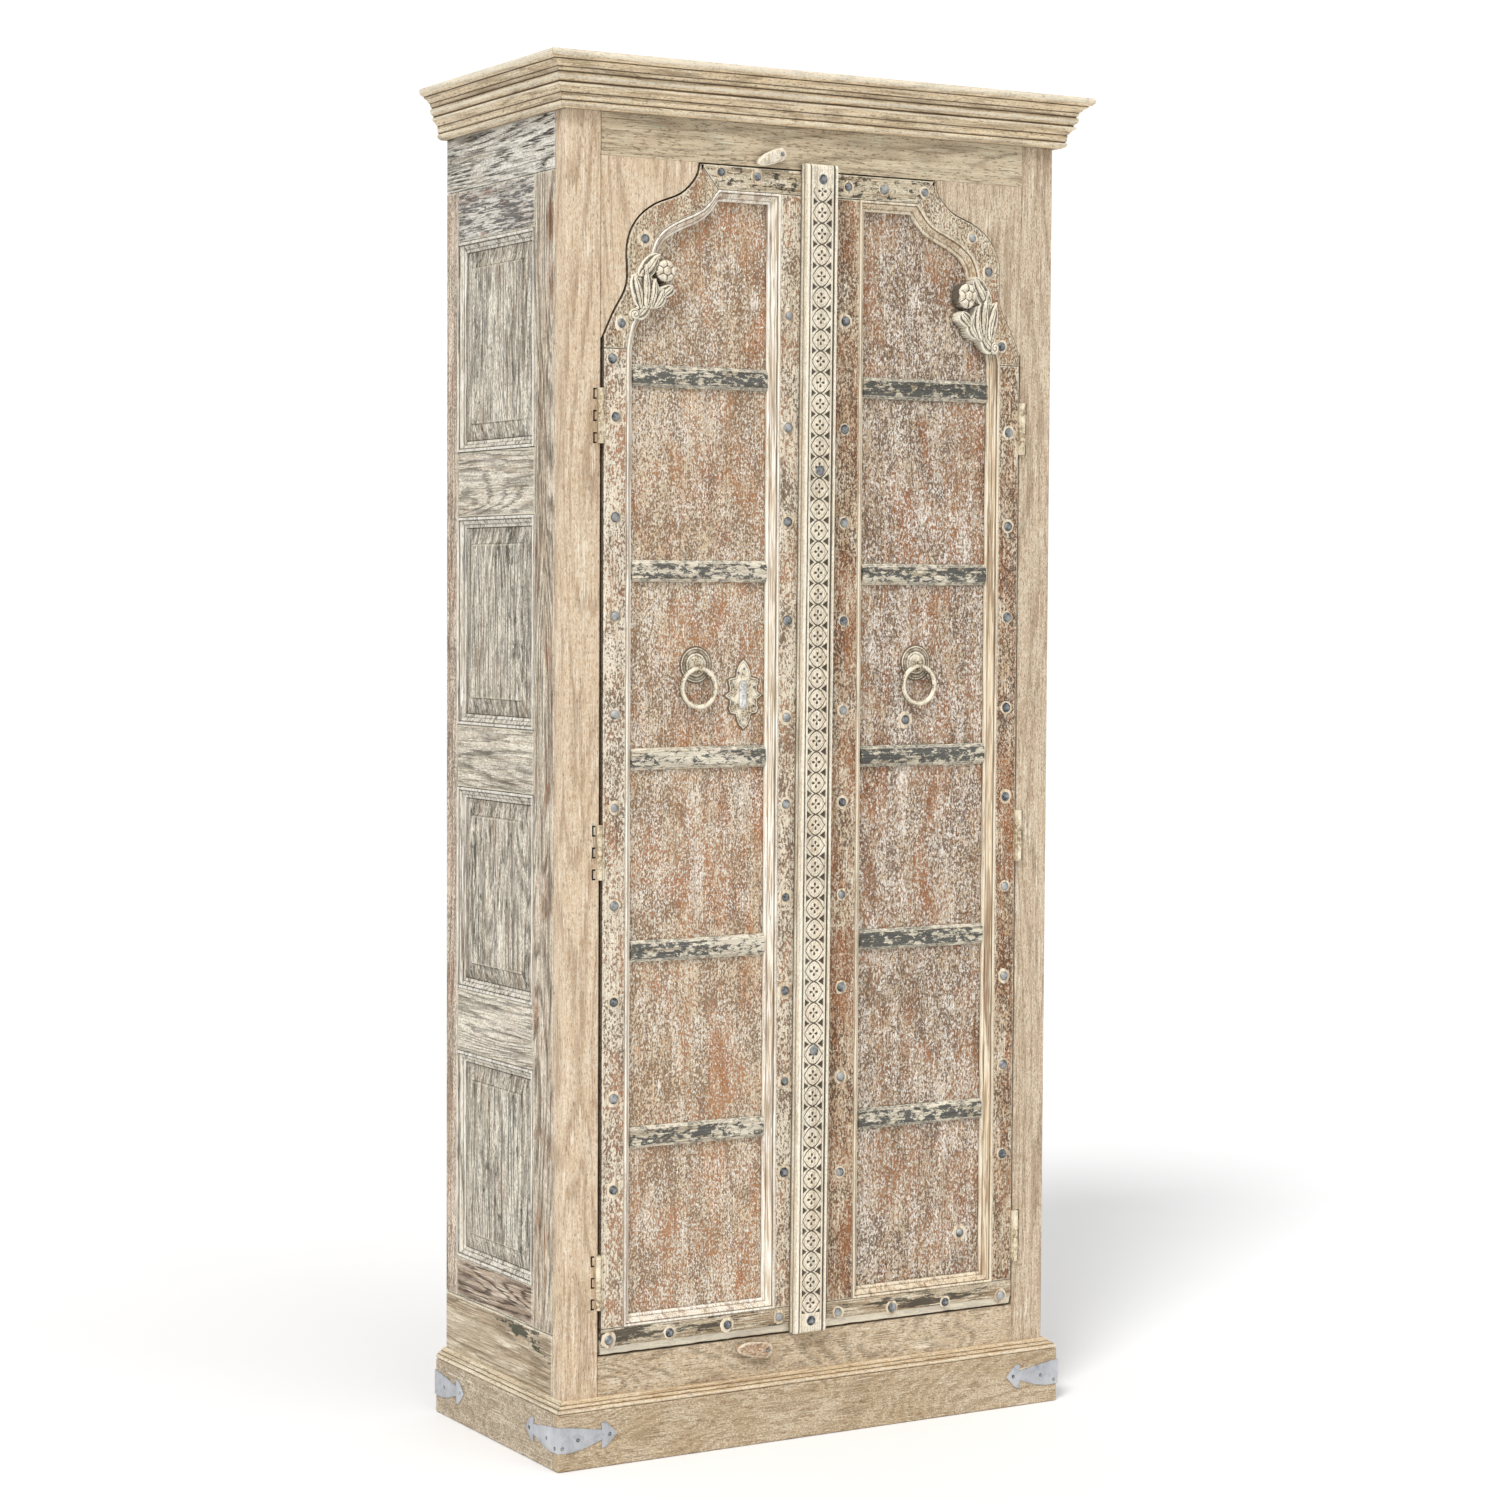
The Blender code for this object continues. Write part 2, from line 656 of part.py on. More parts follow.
def hinge_frame_leaf(side, level):
    """The leaf on the frame, with knuckles 1, 3 and 5 and the pin."""
    bottom = HINGES_Z[level] - HINGE_HEIGHT / 2
    top = bottom + HINGE_HEIGHT
    step = HINGE_HEIGHT / KNUCKLES
    inset = LEAF_THICK / 10
    clear = HINGE_Y + KNUCKLE_R + 2 * GAP
    plate_x = (FRAME_LEAF_X, FRAME_LEAF_X - LEAF_THICK)
    neck_x = (FRAME_LEAF_X - inset, FRAME_LEAF_X - LEAF_THICK + inset)
    plate = hinge_box(side, plate_x, (clear, LEAF_BACK_Y), (bottom, top))
    leaf = add_object(f"hinge_{side}_{level}_frame_leaf", plate, HINGE_STEEL)
    pieces = [hinge_round(side, PIN_R, PIN_SIDES, bottom + PIN_SHORT, top - PIN_SHORT)]
    for k in range(0, KNUCKLES, 2):
        low = bottom + k * step
        pieces.append(hinge_round(side, KNUCKLE_R, KNUCKLE_SIDES, low, low + step))
        neck_y = (HINGE_Y, clear + NECK_ROOT)
        pieces.append(hinge_box(side, neck_x, neck_y, (low + inset, low + step - inset)))
    for number, piece in enumerate(pieces):
        boolean(leaf, add_helper(f"frame_leaf_{side}_{level}_{number}", piece), "UNION")


def hinge_door_leaf(side, level):
    """The leaf on the door, with knuckles 2 and 4 bored for the pin."""
    bottom = HINGES_Z[level] - HINGE_HEIGHT / 2
    top = bottom + HINGE_HEIGHT
    step = HINGE_HEIGHT / KNUCKLES
    inset = LEAF_THICK / 10
    plate_x = (DOOR_LEAF_X, DOOR_LEAF_X - LEAF_THICK)
    plate = hinge_box(side, plate_x, (HINGE_Y - DOOR_LEAF_LIP, LEAF_BACK_Y), (bottom, top))
    leaf = add_object(f"hinge_{side}_{level}_door_leaf", plate, HINGE_STEEL, door_axis(side))
    bridge_x = (HINGE_X - PIN_BORE_R, DOOR_LEAF_X - inset)
    bridge_y = (HINGE_Y - BRIDGE_HALF, HINGE_Y + BRIDGE_HALF)
    for k in range(1, KNUCKLES, 2):
        low = bottom + k * step + GAP
        high = bottom + (k + 1) * step - GAP
        knuckle = hinge_round(side, KNUCKLE_R, KNUCKLE_SIDES, low, high)
        boolean(leaf, add_helper(f"door_knuckle_{side}_{level}_{k}", knuckle), "UNION")
        bridge = hinge_box(side, bridge_x, bridge_y, (low + inset, high - inset))
        boolean(leaf, add_helper(f"door_bridge_{side}_{level}_{k}", bridge), "UNION")
    bore = hinge_round(side, PIN_BORE_R, PIN_SIDES, bottom - step, top + step)
    boolean(leaf, add_helper(f"door_bore_{side}_{level}", bore), "DIFFERENCE")


# ---- Fittings ------------------------------------------------------------------------------


def rosette(side):
    """A round back plate with a staple eye that carries the ring."""
    x = RING_X[side]
    back = PANEL_Y - GAP
    stages = ((0.0, 1.0), (ROSETTE_RIM, 1.0), (ROSETTE_THICK, ROSETTE_TOP_SHARE))
    rings = []
    for out, share in stages:
        outline = circle(x, ROSETTE_Z, ROSETTE_R * share, ROSETTE_SIDES)
        rings.append([(px, back - out, pz) for px, pz in outline])
    plate = add_object(f"rosette_{side}", rings_mesh(rings), PAINTED_IRON, door_axis(side))
    loops = []
    for k in range(EYE_SIDES):
        turn = 2 * math.pi * k / EYE_SIDES
        loop = []
        for j in range(WIRE_SIDES):
            around = 2 * math.pi * j / WIRE_SIDES
            reach = EYE_R + EYE_WIRE_R * math.cos(around)
            y = RING_Y + reach * math.cos(turn)
            z = RING_PIVOT_Z + reach * math.sin(turn)
            loop.append((x + EYE_WIRE_R * math.sin(around), y, z))
        loops.append(loop)
    boolean(plate, add_helper(f"eye_{side}", rings_mesh(loops, closed=True)), "UNION")


def ring(side):
    """A ring that hangs in the eye and swings about the X axis through its top."""
    x = RING_X[side]
    loops = []
    for k in range(RING_SIDES):
        turn = 2 * math.pi * k / RING_SIDES
        loop = []
        for j in range(WIRE_SIDES):
            around = 2 * math.pi * (j + 0.5) / WIRE_SIDES
            reach = RING_R + RING_TUBE_R * math.cos(around)
            px = x + reach * math.sin(turn)
            pz = RING_PIVOT_Z - RING_R + reach * math.cos(turn)
            loop.append((px, RING_Y + RING_TUBE_R * math.sin(around), pz))
        loops.append(loop)
    pivot = (x, RING_Y, RING_PIVOT_Z)
    add_object(f"ring_{side}", rings_mesh(loops, closed=True), PAINTED_IRON, pivot, True)


def lock_plate():
    outline = [(LOCK_X + x, LOCK_Z + z) for x, z in LOCK_HALF]
    outline += [(LOCK_X - x, LOCK_Z + z) for x, z in reversed(LOCK_HALF[1:-1])]
    plate = front_prism(outline, PANEL_Y - GAP - LOCK_THICK, PANEL_Y - GAP)
    add_object("lock_plate", plate, PAINTED_IRON, door_axis("left"))


def turn_button(name, pivot, length, width, angle):
    """A leaf-shaped wooden button on a round boss, turned about its pivot."""
    half = width / 2
    turn = math.radians(angle)
    outline = []
    for along_share, across_share in BUTTON_LEAF:
        along = along_share * (length if along_share > 0 else half)
        across = across_share * half
        x = -(along * math.cos(turn) - across * math.sin(turn))
        z = along * math.sin(turn) + across * math.cos(turn)
        outline.append((pivot[0] + x, pivot[1] + z))
    front = BUTTON_BACK_Y - BUTTON_THICK
    stages = ((BUTTON_BACK_Y, 0.0), (front + BUTTON_EASE_DEPTH, 0.0), (front, BUTTON_EASE))
    rings = [[(x, y, z) for x, z in offset_outline(outline, inset)] for y, inset in stages]
    button = add_object(name, rings_mesh(rings), CREAM_WOOD, (pivot[0], FRONT_Y, pivot[1]))
    boss = circle(pivot[0], pivot[1], BUTTON_BOSS_R, BUTTON_BOSS_SIDES)
    boss = front_prism(boss, BUTTON_BACK_Y - BUTTON_THICK / 2, FRONT_Y - GAP)
    boolean(button, add_helper(f"{name}_boss", boss), "UNION")


def build():
    clear_scene()
    face_frame()
    side_walls()
    boards()
    mitred_moulding("cornice", CORNICE_PROFILE, CREAM_WOOD)
    plinth()
    corner_straps()
    for side in SIDES:
        door_frame(side)
        door_panel(side)
        rosette(side)
        ring(side)
        for level in HINGES_Z:
            hinge_frame_leaf(side, level)
            hinge_door_leaf(side, level)
    carved_strip()
    lock_plate()
    for name, shape in BUTTONS.items():
        turn_button(name, **shape)


build()
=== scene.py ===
"""The armoire's visual model: boards, mouldings, carving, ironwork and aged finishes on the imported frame."""

import json
import math
import random
from types import SimpleNamespace

import bmesh
import bpy
from mathutils import Matrix, Vector, noise


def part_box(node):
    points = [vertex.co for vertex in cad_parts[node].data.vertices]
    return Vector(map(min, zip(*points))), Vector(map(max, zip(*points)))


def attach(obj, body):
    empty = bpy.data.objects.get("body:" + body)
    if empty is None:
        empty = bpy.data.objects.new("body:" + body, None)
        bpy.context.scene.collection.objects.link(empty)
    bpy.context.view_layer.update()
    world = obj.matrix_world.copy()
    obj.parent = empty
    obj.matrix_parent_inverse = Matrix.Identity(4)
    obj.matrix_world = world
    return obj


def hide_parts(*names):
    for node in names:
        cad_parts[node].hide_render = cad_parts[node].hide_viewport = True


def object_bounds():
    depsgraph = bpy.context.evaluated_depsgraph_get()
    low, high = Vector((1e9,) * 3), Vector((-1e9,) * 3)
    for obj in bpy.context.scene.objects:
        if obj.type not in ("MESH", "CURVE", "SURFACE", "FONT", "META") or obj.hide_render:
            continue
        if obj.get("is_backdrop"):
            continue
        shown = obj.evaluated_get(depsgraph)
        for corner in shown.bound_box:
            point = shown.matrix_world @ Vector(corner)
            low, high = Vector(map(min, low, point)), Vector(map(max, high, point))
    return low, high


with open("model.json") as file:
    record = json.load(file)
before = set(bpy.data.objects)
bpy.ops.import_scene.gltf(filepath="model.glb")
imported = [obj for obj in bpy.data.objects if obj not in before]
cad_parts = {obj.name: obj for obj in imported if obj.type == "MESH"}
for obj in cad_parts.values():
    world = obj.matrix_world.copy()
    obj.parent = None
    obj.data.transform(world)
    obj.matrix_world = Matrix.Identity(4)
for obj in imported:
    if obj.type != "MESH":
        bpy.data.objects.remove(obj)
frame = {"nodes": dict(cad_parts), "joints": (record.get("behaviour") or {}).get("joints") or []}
cad_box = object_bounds()

SIDES = {"left": -1, "right": 1}
SEAM = 0.0004

# Planes of the carcass and the doors, read from the frame.
BODY_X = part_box("side_frame_right")[1].x
SIDE_INNER_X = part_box("side_frame_right")[0].x
FRONT_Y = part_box("front_top_rail")[0].y
FRAME_BACK_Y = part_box("front_top_rail")[1].y
BACK_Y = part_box("side_frame_left")[1].y
BODY_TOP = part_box("side_frame_left")[1].z
DOOR_FACE_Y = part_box("door_left_frame")[0].y
DOOR_BACK_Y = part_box("door_left_frame")[1].y
DOOR_EDGE_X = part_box("door_right_frame")[1].x
DOOR_BOTTOM_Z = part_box("door_left_frame")[0].z
DOOR_TOP_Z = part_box("door_left_frame")[1].z
DOOR_DEPTH = DOOR_BACK_Y - DOOR_FACE_Y
PANEL_BACK_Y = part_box("door_left_panel")[1].y
PANEL_THICK = 0.010
PANEL_Y = PANEL_BACK_Y - PANEL_THICK
HEIGHT = cad_box[1].z

# The doors' outlines, as in the CAD model: x and z of the right door.
ARCH_HEAD_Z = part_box("front_top_rail")[0].z
ARCH_GAP = 0.0025
ARCH = (
    (0.2115, ARCH_HEAD_Z), (0.2180, 1.8970), (0.2430, 1.8720), (0.2890, 1.8530), (0.3200, 1.8270),
    (0.3350, 1.7900), (0.3355, 1.7350), (0.3580, 1.6920), (0.3757, 1.6550),
)
BAND_EDGE = (
    (0.1790, 1.8800), (0.2050, 1.8500), (0.2520, 1.8280), (0.2800, 1.8080), (0.2940, 1.7800),
    (0.2985, 1.7420), (0.3100, 1.7050), (0.3270, 1.6740), (0.3340, 1.6400),
)
BAND_FOOT_Z = 1.640
MEETING_X = {"left": 0.0215, "right": 0.0240}
OPENING_MEETING_X = {"left": 0.070, "right": 0.0715}
OPENING_HINGE_X = 0.334
OPENING_BOTTOM_Z = 0.200
OPENING_TOP_Z = 1.880
MOULDING_WIDTH = 0.0155
REBATE_INSET = 0.006
BATTENS_Z = {"left": (1.603, 1.317, 1.040, 0.755, 0.478), "right": (1.598, 1.314, 1.035, 0.752, 0.475)}

# Side walls: panel openings and the boards round them.
SIDE_OPENING_Y = (-0.072, 0.178)
SIDE_OPENINGS_Z = ((1.500, 1.820), (1.082, 1.400), (0.673, 0.985), (0.253, 0.575))
SIDE_MOULDING = 0.016
SIDE_HEAD_Z = 1.899
SIDE_FOOT_Z = 0.190


# ---- Mesh helpers: the float attribute of wear and shade is 1 on rubbed ridges, 0 on faces and -1 in grooves and gaps, which it darkens with dirt and painted shade ----


def wear_and_shade_layer(bm):
    return bm.verts.layers.float.get("wear_and_shade") or bm.verts.layers.float.new("wear_and_shade")


def piece(name, bm, look, body, nodes=(), smooth_angle=40):
    """Turns a bmesh into a piece that rides on a body, and hides the CAD nodes it stands for."""
    bmesh.ops.recalc_face_normals(bm, faces=bm.faces)
    mesh = bpy.data.meshes.new(name)
    bm.to_mesh(mesh)
    bm.free()
    mesh.shade_smooth()
    mesh.set_sharp_from_angle(angle=math.radians(smooth_angle))
    mesh.materials.append(MATERIAL[look])
    obj = bpy.data.objects.new(name, mesh)
    bpy.context.scene.collection.objects.link(obj)
    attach(obj, body)
    if nodes:
        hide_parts(*nodes)


def bridge(bm, first, second):
    """Faces between two closed loops of as many corners."""
    for i, corner in enumerate(first):
        j = (i + 1) % len(first)
        bm.faces.new((corner, first[j], second[j], second[i]))


def add_loops(bm, rings):
    """Adds rings of points, each x, y, z and a value of wear and painted shade, joins each ring to the next
    and returns their corners.
    """
    layer = wear_and_shade_layer(bm)
    loops = []
    for ring in rings:
        loops.append([bm.verts.new(point[:3]) for point in ring])
        for corner, point in zip(loops[-1], ring):
            corner[layer] = point[3]
    for first, second in zip(loops, loops[1:]):
        bridge(bm, first, second)
    return loops


def skin(rings, closed=False):
    """A solid through rings of points: closed on itself, or capped at its first and last ring."""
    bm = bmesh.new()
    loops = add_loops(bm, rings)
    if closed:
        bridge(bm, loops[-1], loops[0])
    else:
        bm.faces.new(loops[0])
        bm.faces.new(loops[-1])
    bmesh.ops.recalc_face_normals(bm, faces=bm.faces)
    return bm


def stacked(outline, stages):
    """A solid from an (x, z) outline that is inset at each stage: y, inset, and wear and painted shade."""
    rings = []
    for y, inset, wear_and_shade in stages:
        rings.append([(x, y, z, wear_and_shade) for x, z in offset_outline(outline, inset)])
    return skin(rings)


def merged(parts):
    """One bmesh that holds several others."""
    whole = bmesh.new()
    wear_and_shade_layer(whole)
    for part in parts:
        mesh = bpy.data.meshes.new("part")
        part.to_mesh(mesh)
        part.free()
        whole.from_mesh(mesh)
        bpy.data.meshes.remove(mesh)
    return whole


def board(low, high, ease=0.0012, border=0.007):
    """A box with eased edges, whose wear is 1 on the edges and fades across a border on each broad face."""
    low, high = Vector(low), Vector(high)
    bm = bmesh.new()
    bmesh.ops.create_cube(bm, size=1.0)
    for vert in bm.verts:
        vert.co = (low + high) / 2 + vert.co * (high - low)
    bmesh.ops.bevel(bm, geom=bm.edges[:], offset=ease, segments=2, profile=0.5, affect="EDGES")
    layer = wear_and_shade_layer(bm)
    for vert in bm.verts:
        vert[layer] = 1.0
    for face in [face for face in bm.faces if face.calc_area() / face.calc_perimeter() > 0.003]:
        width = min(border, 0.8 * face.calc_area() / face.calc_perimeter())
        bmesh.ops.inset_individual(bm, faces=[face], thickness=width)
        for vert in face.verts:
            vert[layer] = 0.0
    return bm


def plank(outline, front_y, back_y, ease=0.0010, border=0.005):
    """A board with a shaped outline, given as (x, z) points, with eased, worn front and back edges and sides
    darkened as painted shade in the gaps.
    """
    depth = front_y - back_y
    stages = (
        (back_y, border, 0.0), (back_y, ease, 0.7), (back_y - 1.6 * ease, 0.0, 0.2),
        # The sides are darkened right up to the eased front edge: painted shade in the gaps between boards.
        (back_y + depth * 0.4, 0.0, -1.0), (back_y + depth * 0.6, 0.0, -0.8),
        (front_y + 1.6 * ease, 0.0, -0.8), (front_y + 0.5 * ease, 0.3 * ease, 0.9),
        (front_y, ease, 1.0), (front_y, border, 0.0),
    )
    return stacked(outline, stages)


def smooth_curve(knots, steps):
    """Points of a Catmull-Rom curve through the knots."""
    knots = [Vector(knot) for knot in knots]
    padded = [knots[0] * 2 - knots[1], *knots, knots[-1] * 2 - knots[-2]]
    points = []
    for a, b, c, d in zip(padded, padded[1:], padded[2:], padded[3:]):
        for step in range(steps):
            t = step / steps
            point = 2 * b + (c - a) * t
            point += (2 * a - 5 * b + 4 * c - d) * t * t
            point += (3 * b - a - 3 * c + d) * t * t * t
            points.append(point / 2)
    points.append(knots[-1])
    return points


def offset_outline(outline, distance):
    """A closed outline moved by a distance, towards its inside when the distance is positive."""
    points = [Vector(point) for point in outline]
    area = sum(a.x * b.y - b.x * a.y for a, b in zip(points, points[1:] + points[:1]))
    turn = math.copysign(1.0, area)
    moved = []
    for before, here, after in zip(points[-1:] + points[:-1], points, points[1:] + points[:1]):
        edges = (here - before).normalized(), (after - here).normalized()
        normals = [Vector((-edge.y, edge.x)) * turn for edge in edges]
        middle = (normals[0] + normals[1]).normalized()
        moved.append(here + middle * distance / max(middle.dot(normals[0]), 0.5))
    return moved


def rectangle(x0, x1, z0, z1):
    return [(x0, z0), (x1, z0), (x1, z1), (x0, z1)]


def mirrored(outline, sign):
    return [(sign * x, z) for x, z in outline]


def wobble(point, pitch, amount, seed=0.0):
    """Smooth noise at a point, for hand-worked unevenness."""
    return amount * noise.noise(Vector(point) / pitch + Vector((seed, seed * 1.7, 0.0)))


def round_steps(count):
    """Cosine and sine of evenly spaced angles round a circle."""
    return [(math.cos(math.tau * k / count), math.sin(math.tau * k / count)) for k in range(count)]


def dome(bm, place, u, v, radius, height, seed, sides=16, levels=4):
    """A slightly uneven round head, added to a bmesh, with a painted shadow round its foot; place(u, v, out)
    gives its points.
    """
    lean_u = 0.35 * noise.noise((seed, 0.3, 0.7))
    lean_v = 0.35 * noise.noise((seed, 4.1, 2.2))
    rings = []
    for level in range(levels):
        slope = math.pi / 2 * level / levels
        ring = []
        for across, up in round_steps(sides):
            reach = radius * math.cos(slope) * (1 + 0.06 * noise.noise((seed, across, up)))
            du, dv = reach * across, reach * up
            out = height * math.sin(slope) * (1 + (lean_u * du + lean_v * dv) / radius)
            # The foot ring is set to -1, so the colour darkens there as a painted shadow round the head.
            ring.append((*place(u + du, v + dv, out), level / levels if level else -1.0))
        rings.append(ring)
    top = add_loops(bm, rings)[-1]
    tip = bm.verts.new(place(u, v, height))
    tip[wear_and_shade_layer(bm)] = 1.0
    for corner, following in zip(top, top[1:] + top[:1]):
        bm.faces.new((corner, following, tip))


# ---- Materials -----------------------------------------------------------------------------


def srgb(red, green, blue):
    """A linear colour from 0-255 display values."""
    values = []
    for part in (red / 255, green / 255, blue / 255):
        values.append(part / 12.92 if part <= 0.04045 else ((part + 0.055) / 1.055) ** 2.4)
    return (*values, 1.0)


class Shade:
    """Writes a node tree round one Principled shader, in the object's own coordinates."""

    def __init__(self, name):
        self.material = bpy.data.materials.new(name)
        self.material.use_nodes = True
        self.tree = self.material.node_tree
        self.shader = self.tree.nodes["Principled BSDF"]
        self.place = self.tree.nodes.new("ShaderNodeTexCoord").outputs["Object"]
        # The attribute of wear and shade: above 0 on rubbed ridges, below 0 where dirt and painted shade
        # darken hollows and gaps.
        attribute = self.tree.nodes.new("ShaderNodeAttribute")
        attribute.attribute_name = "wear_and_shade"
        self.wear_and_shade = attribute.outputs["Fac"]
        self.colour = None
        self.height = None

    def feed(self, socket, source):
        if isinstance(source, (int, float, tuple)):
            socket.default_value = source
        else:
            self.tree.links.new(source, socket)

    def math(self, operation, first, second, clamp=False):
        node = self.tree.nodes.new("ShaderNodeMath")
        node.operation = operation
        node.use_clamp = clamp
        self.feed(node.inputs[0], first)
        self.feed(node.inputs[1], second)
        return node.outputs[0]

    def times(self, first, second):
        return self.math("MULTIPLY", first, second)

    def plus(self, first, second):
        return self.math("ADD", first, second)

    def noise(self, scale, shift, detail=2.0, rough=0.5, warp=0.0):
        """Noise whose frequency along each axis is the scale, in cycles per metre."""
        spread = self.tree.nodes.new("ShaderNodeVectorMath")
        spread.operation = "MULTIPLY_ADD"
        self.tree.links.new(self.place, spread.inputs[0])
        spread.inputs[1].default_value = scale
        spread.inputs[2].default_value = shift
        node = self.tree.nodes.new("ShaderNodeTexNoise")
        self.tree.links.new(spread.outputs[0], node.inputs["Vector"])
        node.inputs["Scale"].default_value = 1.0
        node.inputs["Detail"].default_value = detail
        node.inputs["Roughness"].default_value = rough
        node.inputs["Distortion"].default_value = warp
        return node.outputs[0]

    def between(self, value, low, high):
        """0 below low and 1 above high, smooth in between."""
        node = self.tree.nodes.new("ShaderNodeMapRange")
        node.interpolation_type = "SMOOTHSTEP"
        self.feed(node.inputs["Value"], value)
        node.inputs["From Min"].default_value = low
        node.inputs["From Max"].default_value = high
        return node.outputs[0]

    def mix(self, share, first, second):
        node = self.tree.nodes.new("ShaderNodeMix")
        node.data_type = "RGBA"
        self.feed(node.inputs[0], share)
        self.feed(node.inputs[6], first)
        self.feed(node.inputs[7], second)
        return node.outputs[2]

    def mark(self, mask, strength, tone, rise=0.0):
        """Colours the surface where a mask is white, and raises it there, or sinks it if rise is negative."""
        self.colour = self.mix(self.times(mask, strength), self.colour, tone)
        if rise:
            self.height = self.plus(self.height, self.times(mask, rise))

    def finish(self, roughness, relief_m):
        self.feed(self.shader.inputs["Base Color"], self.colour)
        self.feed(self.shader.inputs["Roughness"], roughness)
        bump = self.tree.nodes.new("ShaderNodeBump")
        bump.inputs["Strength"].default_value = 1.0
        bump.inputs["Distance"].default_value = relief_m
        self.feed(bump.inputs["Height"], self.height)
        self.tree.links.new(bump.outputs[0], self.shader.inputs["Normal"])
        return self.material


# How much lower the frequency of wood marks is along the grain.
ALONG_GRAIN = 0.045
LIMEWASH = (240, 231, 210)


class Wood(Shade):
    """The node tree of an aged wood, with its look, its grain and three places in the noise."""

    def __init__(self, name, look, seed):
        super().__init__(name)
        self.look = look
        a, b, c = seed * 3.1, seed * 5.7, seed * 7.3
        self.shift, self.other, self.third = (a, b, c), (b, c, a), (c, a, b)

    def marks(self, across, stretch, shift, detail, rough=0.5, warp=0.0):
        """Noise with a frequency across the grain; a stretch of 22 makes its marks as long as wide."""
        along = across * ALONG_GRAIN * stretch
        scale = tuple(along if axis == self.look.grain else across for axis in "XYZ")
        return self.noise(scale, shift, detail, rough, warp)


def draw_grain(wood, look):
    """Streaks, fibres and broad areas, between a dark and a limed light tone."""
    tone = srgb(*look.tone)
    limed = srgb(*LIMEWASH)
    dark = (*(part * (1 - look.contrast * drop) for part, drop in zip(tone, (0.92, 1.04, 1.18))), 1.0)
    light = (*(part + (top - part) * 0.8 * look.contrast for part, top in zip(tone[:3], limed)), 1.0)
    streaks = wood.between(wood.marks(70, 1.0, wood.shift, 3, 0.6, look.wave), 0.32, 0.68)
    wood.fibres = wood.between(wood.marks(560, 0.7, wood.shift, 2, 0.6, look.wave / 2), 0.36, 0.64)
    wood.fine = wood.plus(wood.fibres, -0.5)
    area = wood.plus(wood.marks(9, 9.0, wood.shift, 2, 0.5, 0.4), -0.5)
    level = wood.plus(wood.times(streaks, look.streak), 0.5 - look.streak / 2)
    level = wood.plus(level, wood.times(area, look.broad))
    level = wood.math("ADD", level, wood.times(wood.fine, look.fibre), clamp=True)
    wood.colour = wood.mix(wood.between(level, 0.0, 0.55), dark, tone)
    wood.colour = wood.mix(wood.between(level, 0.5, 1.0), wood.colour, light)
    wood.height = wood.plus(wood.times(wood.fibres, 0.4), wood.times(streaks, 0.5))


def draw_patches(wood, look):
    area = wood.marks(19, 8.0, wood.third, 4, 0.7, 0.5)
    area = wood.between(area, 0.64 - 0.22 * look.patch, 0.76 - 0.22 * look.patch)
    wood.mark(area, 0.75, srgb(*look.patch_tone))


def draw_limewash(wood, look):
    wash = wood.marks(38, look.lime_stretch, wood.other, 5, 0.75, 0.6)
    wash = wood.plus(wash, wood.times(wood.fine, 0.25))
    wash = wood.between(wash, 0.72 - 0.34 * look.lime, 0.86 - 0.34 * look.lime)
    wood.mark(wash, 0.75, srgb(*look.lime_tone))


def draw_flecks(wood, look):
    """Small raised dots of limewash, gathered in clouds."""
    cloud = wood.marks(24, 12.0, wood.third, 3, 0.6, 0.5)
    dots = wood.plus(wood.marks(430, 14.0, wood.shift, 2, 0.6), wood.times(cloud, 0.34))
    wood.mark(wood.between(dots, 0.66, 0.73), look.fleck, srgb(*look.lime_tone), 0.5 * look.fleck)


def draw_specks(wood, look):
    """Small pits, dark or in the tone of the patches."""
    gather = wood.marks(34, 9.0, wood.other, 3, 0.6)
    pits = wood.plus(wood.marks(390, 13.0, wood.third, 3, 0.65), wood.times(gather, 0.32))
    warm = wood.marks(16, 10.0, (wood.shift[0], wood.shift[1], 2.7), 3, 0.6, 0.6)
    tone = wood.mix(wood.between(warm, 0.46, 0.60), srgb(*look.speck_tone), srgb(*look.patch_tone))
    wood.mark(wood.between(pits, 0.66, 0.73), look.speck, tone, -look.speck)


def draw_grooves(wood, look):
    lines = wood.marks(look.groove_size, 1.0, wood.shift, 4, 0.64, look.wave)
    wood.mark(wood.between(lines, 0.53, 0.63), look.groove, srgb(*look.groove_tone), -1.8 * look.groove)


def draw_rings(wood, look):
    """Growth rings: broken contour lines of a broad noise."""
    field = wood.marks(look.ring_size, look.ring_stretch, wood.other, 2, 0.45, 0.3)
    field = wood.plus(field, wood.times(wood.fine, 0.012))
    lines = wood.math("PINGPONG", wood.times(field, look.ring_count), 0.5)
    broken = wood.between(wood.marks(90, 3.0, wood.third, 2, 0.6), 0.34, 0.54)
    lines = wood.times(wood.between(lines, 0.30, 0.46), broken)
    wood.mark(lines, look.ring, srgb(*look.groove_tone), -2.2 * look.ring)


def draw_pores(wood, look):
    holes = wood.between(wood.marks(520, 4.0, wood.other, 1), 0.62, 0.68)
    wood.mark(holes, look.pore, srgb(*look.groove_tone), -look.pore)


def draw_paint(wood, look):
    """Remains of an old dark paint, chipped along the grain."""
    chips = wood.marks(look.paint_size, look.paint_stretch, wood.other, 6, 0.78, 0.3)
    gather = wood.plus(wood.marks(13.0, 8.0, wood.third, 2), -0.5)
    chips = wood.plus(chips, wood.times(gather, look.paint_gather))
    chips = wood.between(chips, 0.62 - 0.24 * look.paint, 0.65 - 0.24 * look.paint)
    wood.mark(chips, 0.88, srgb(*look.paint_tone), 0.5)


# Marks in the order they are drawn; each is left out where its strength is 0.
DRAWN = {
    "patch": draw_patches, "lime": draw_limewash, "fleck": draw_flecks, "speck": draw_specks,
    "groove": draw_grooves, "ring": draw_rings, "pore": draw_pores, "paint": draw_paint,
}


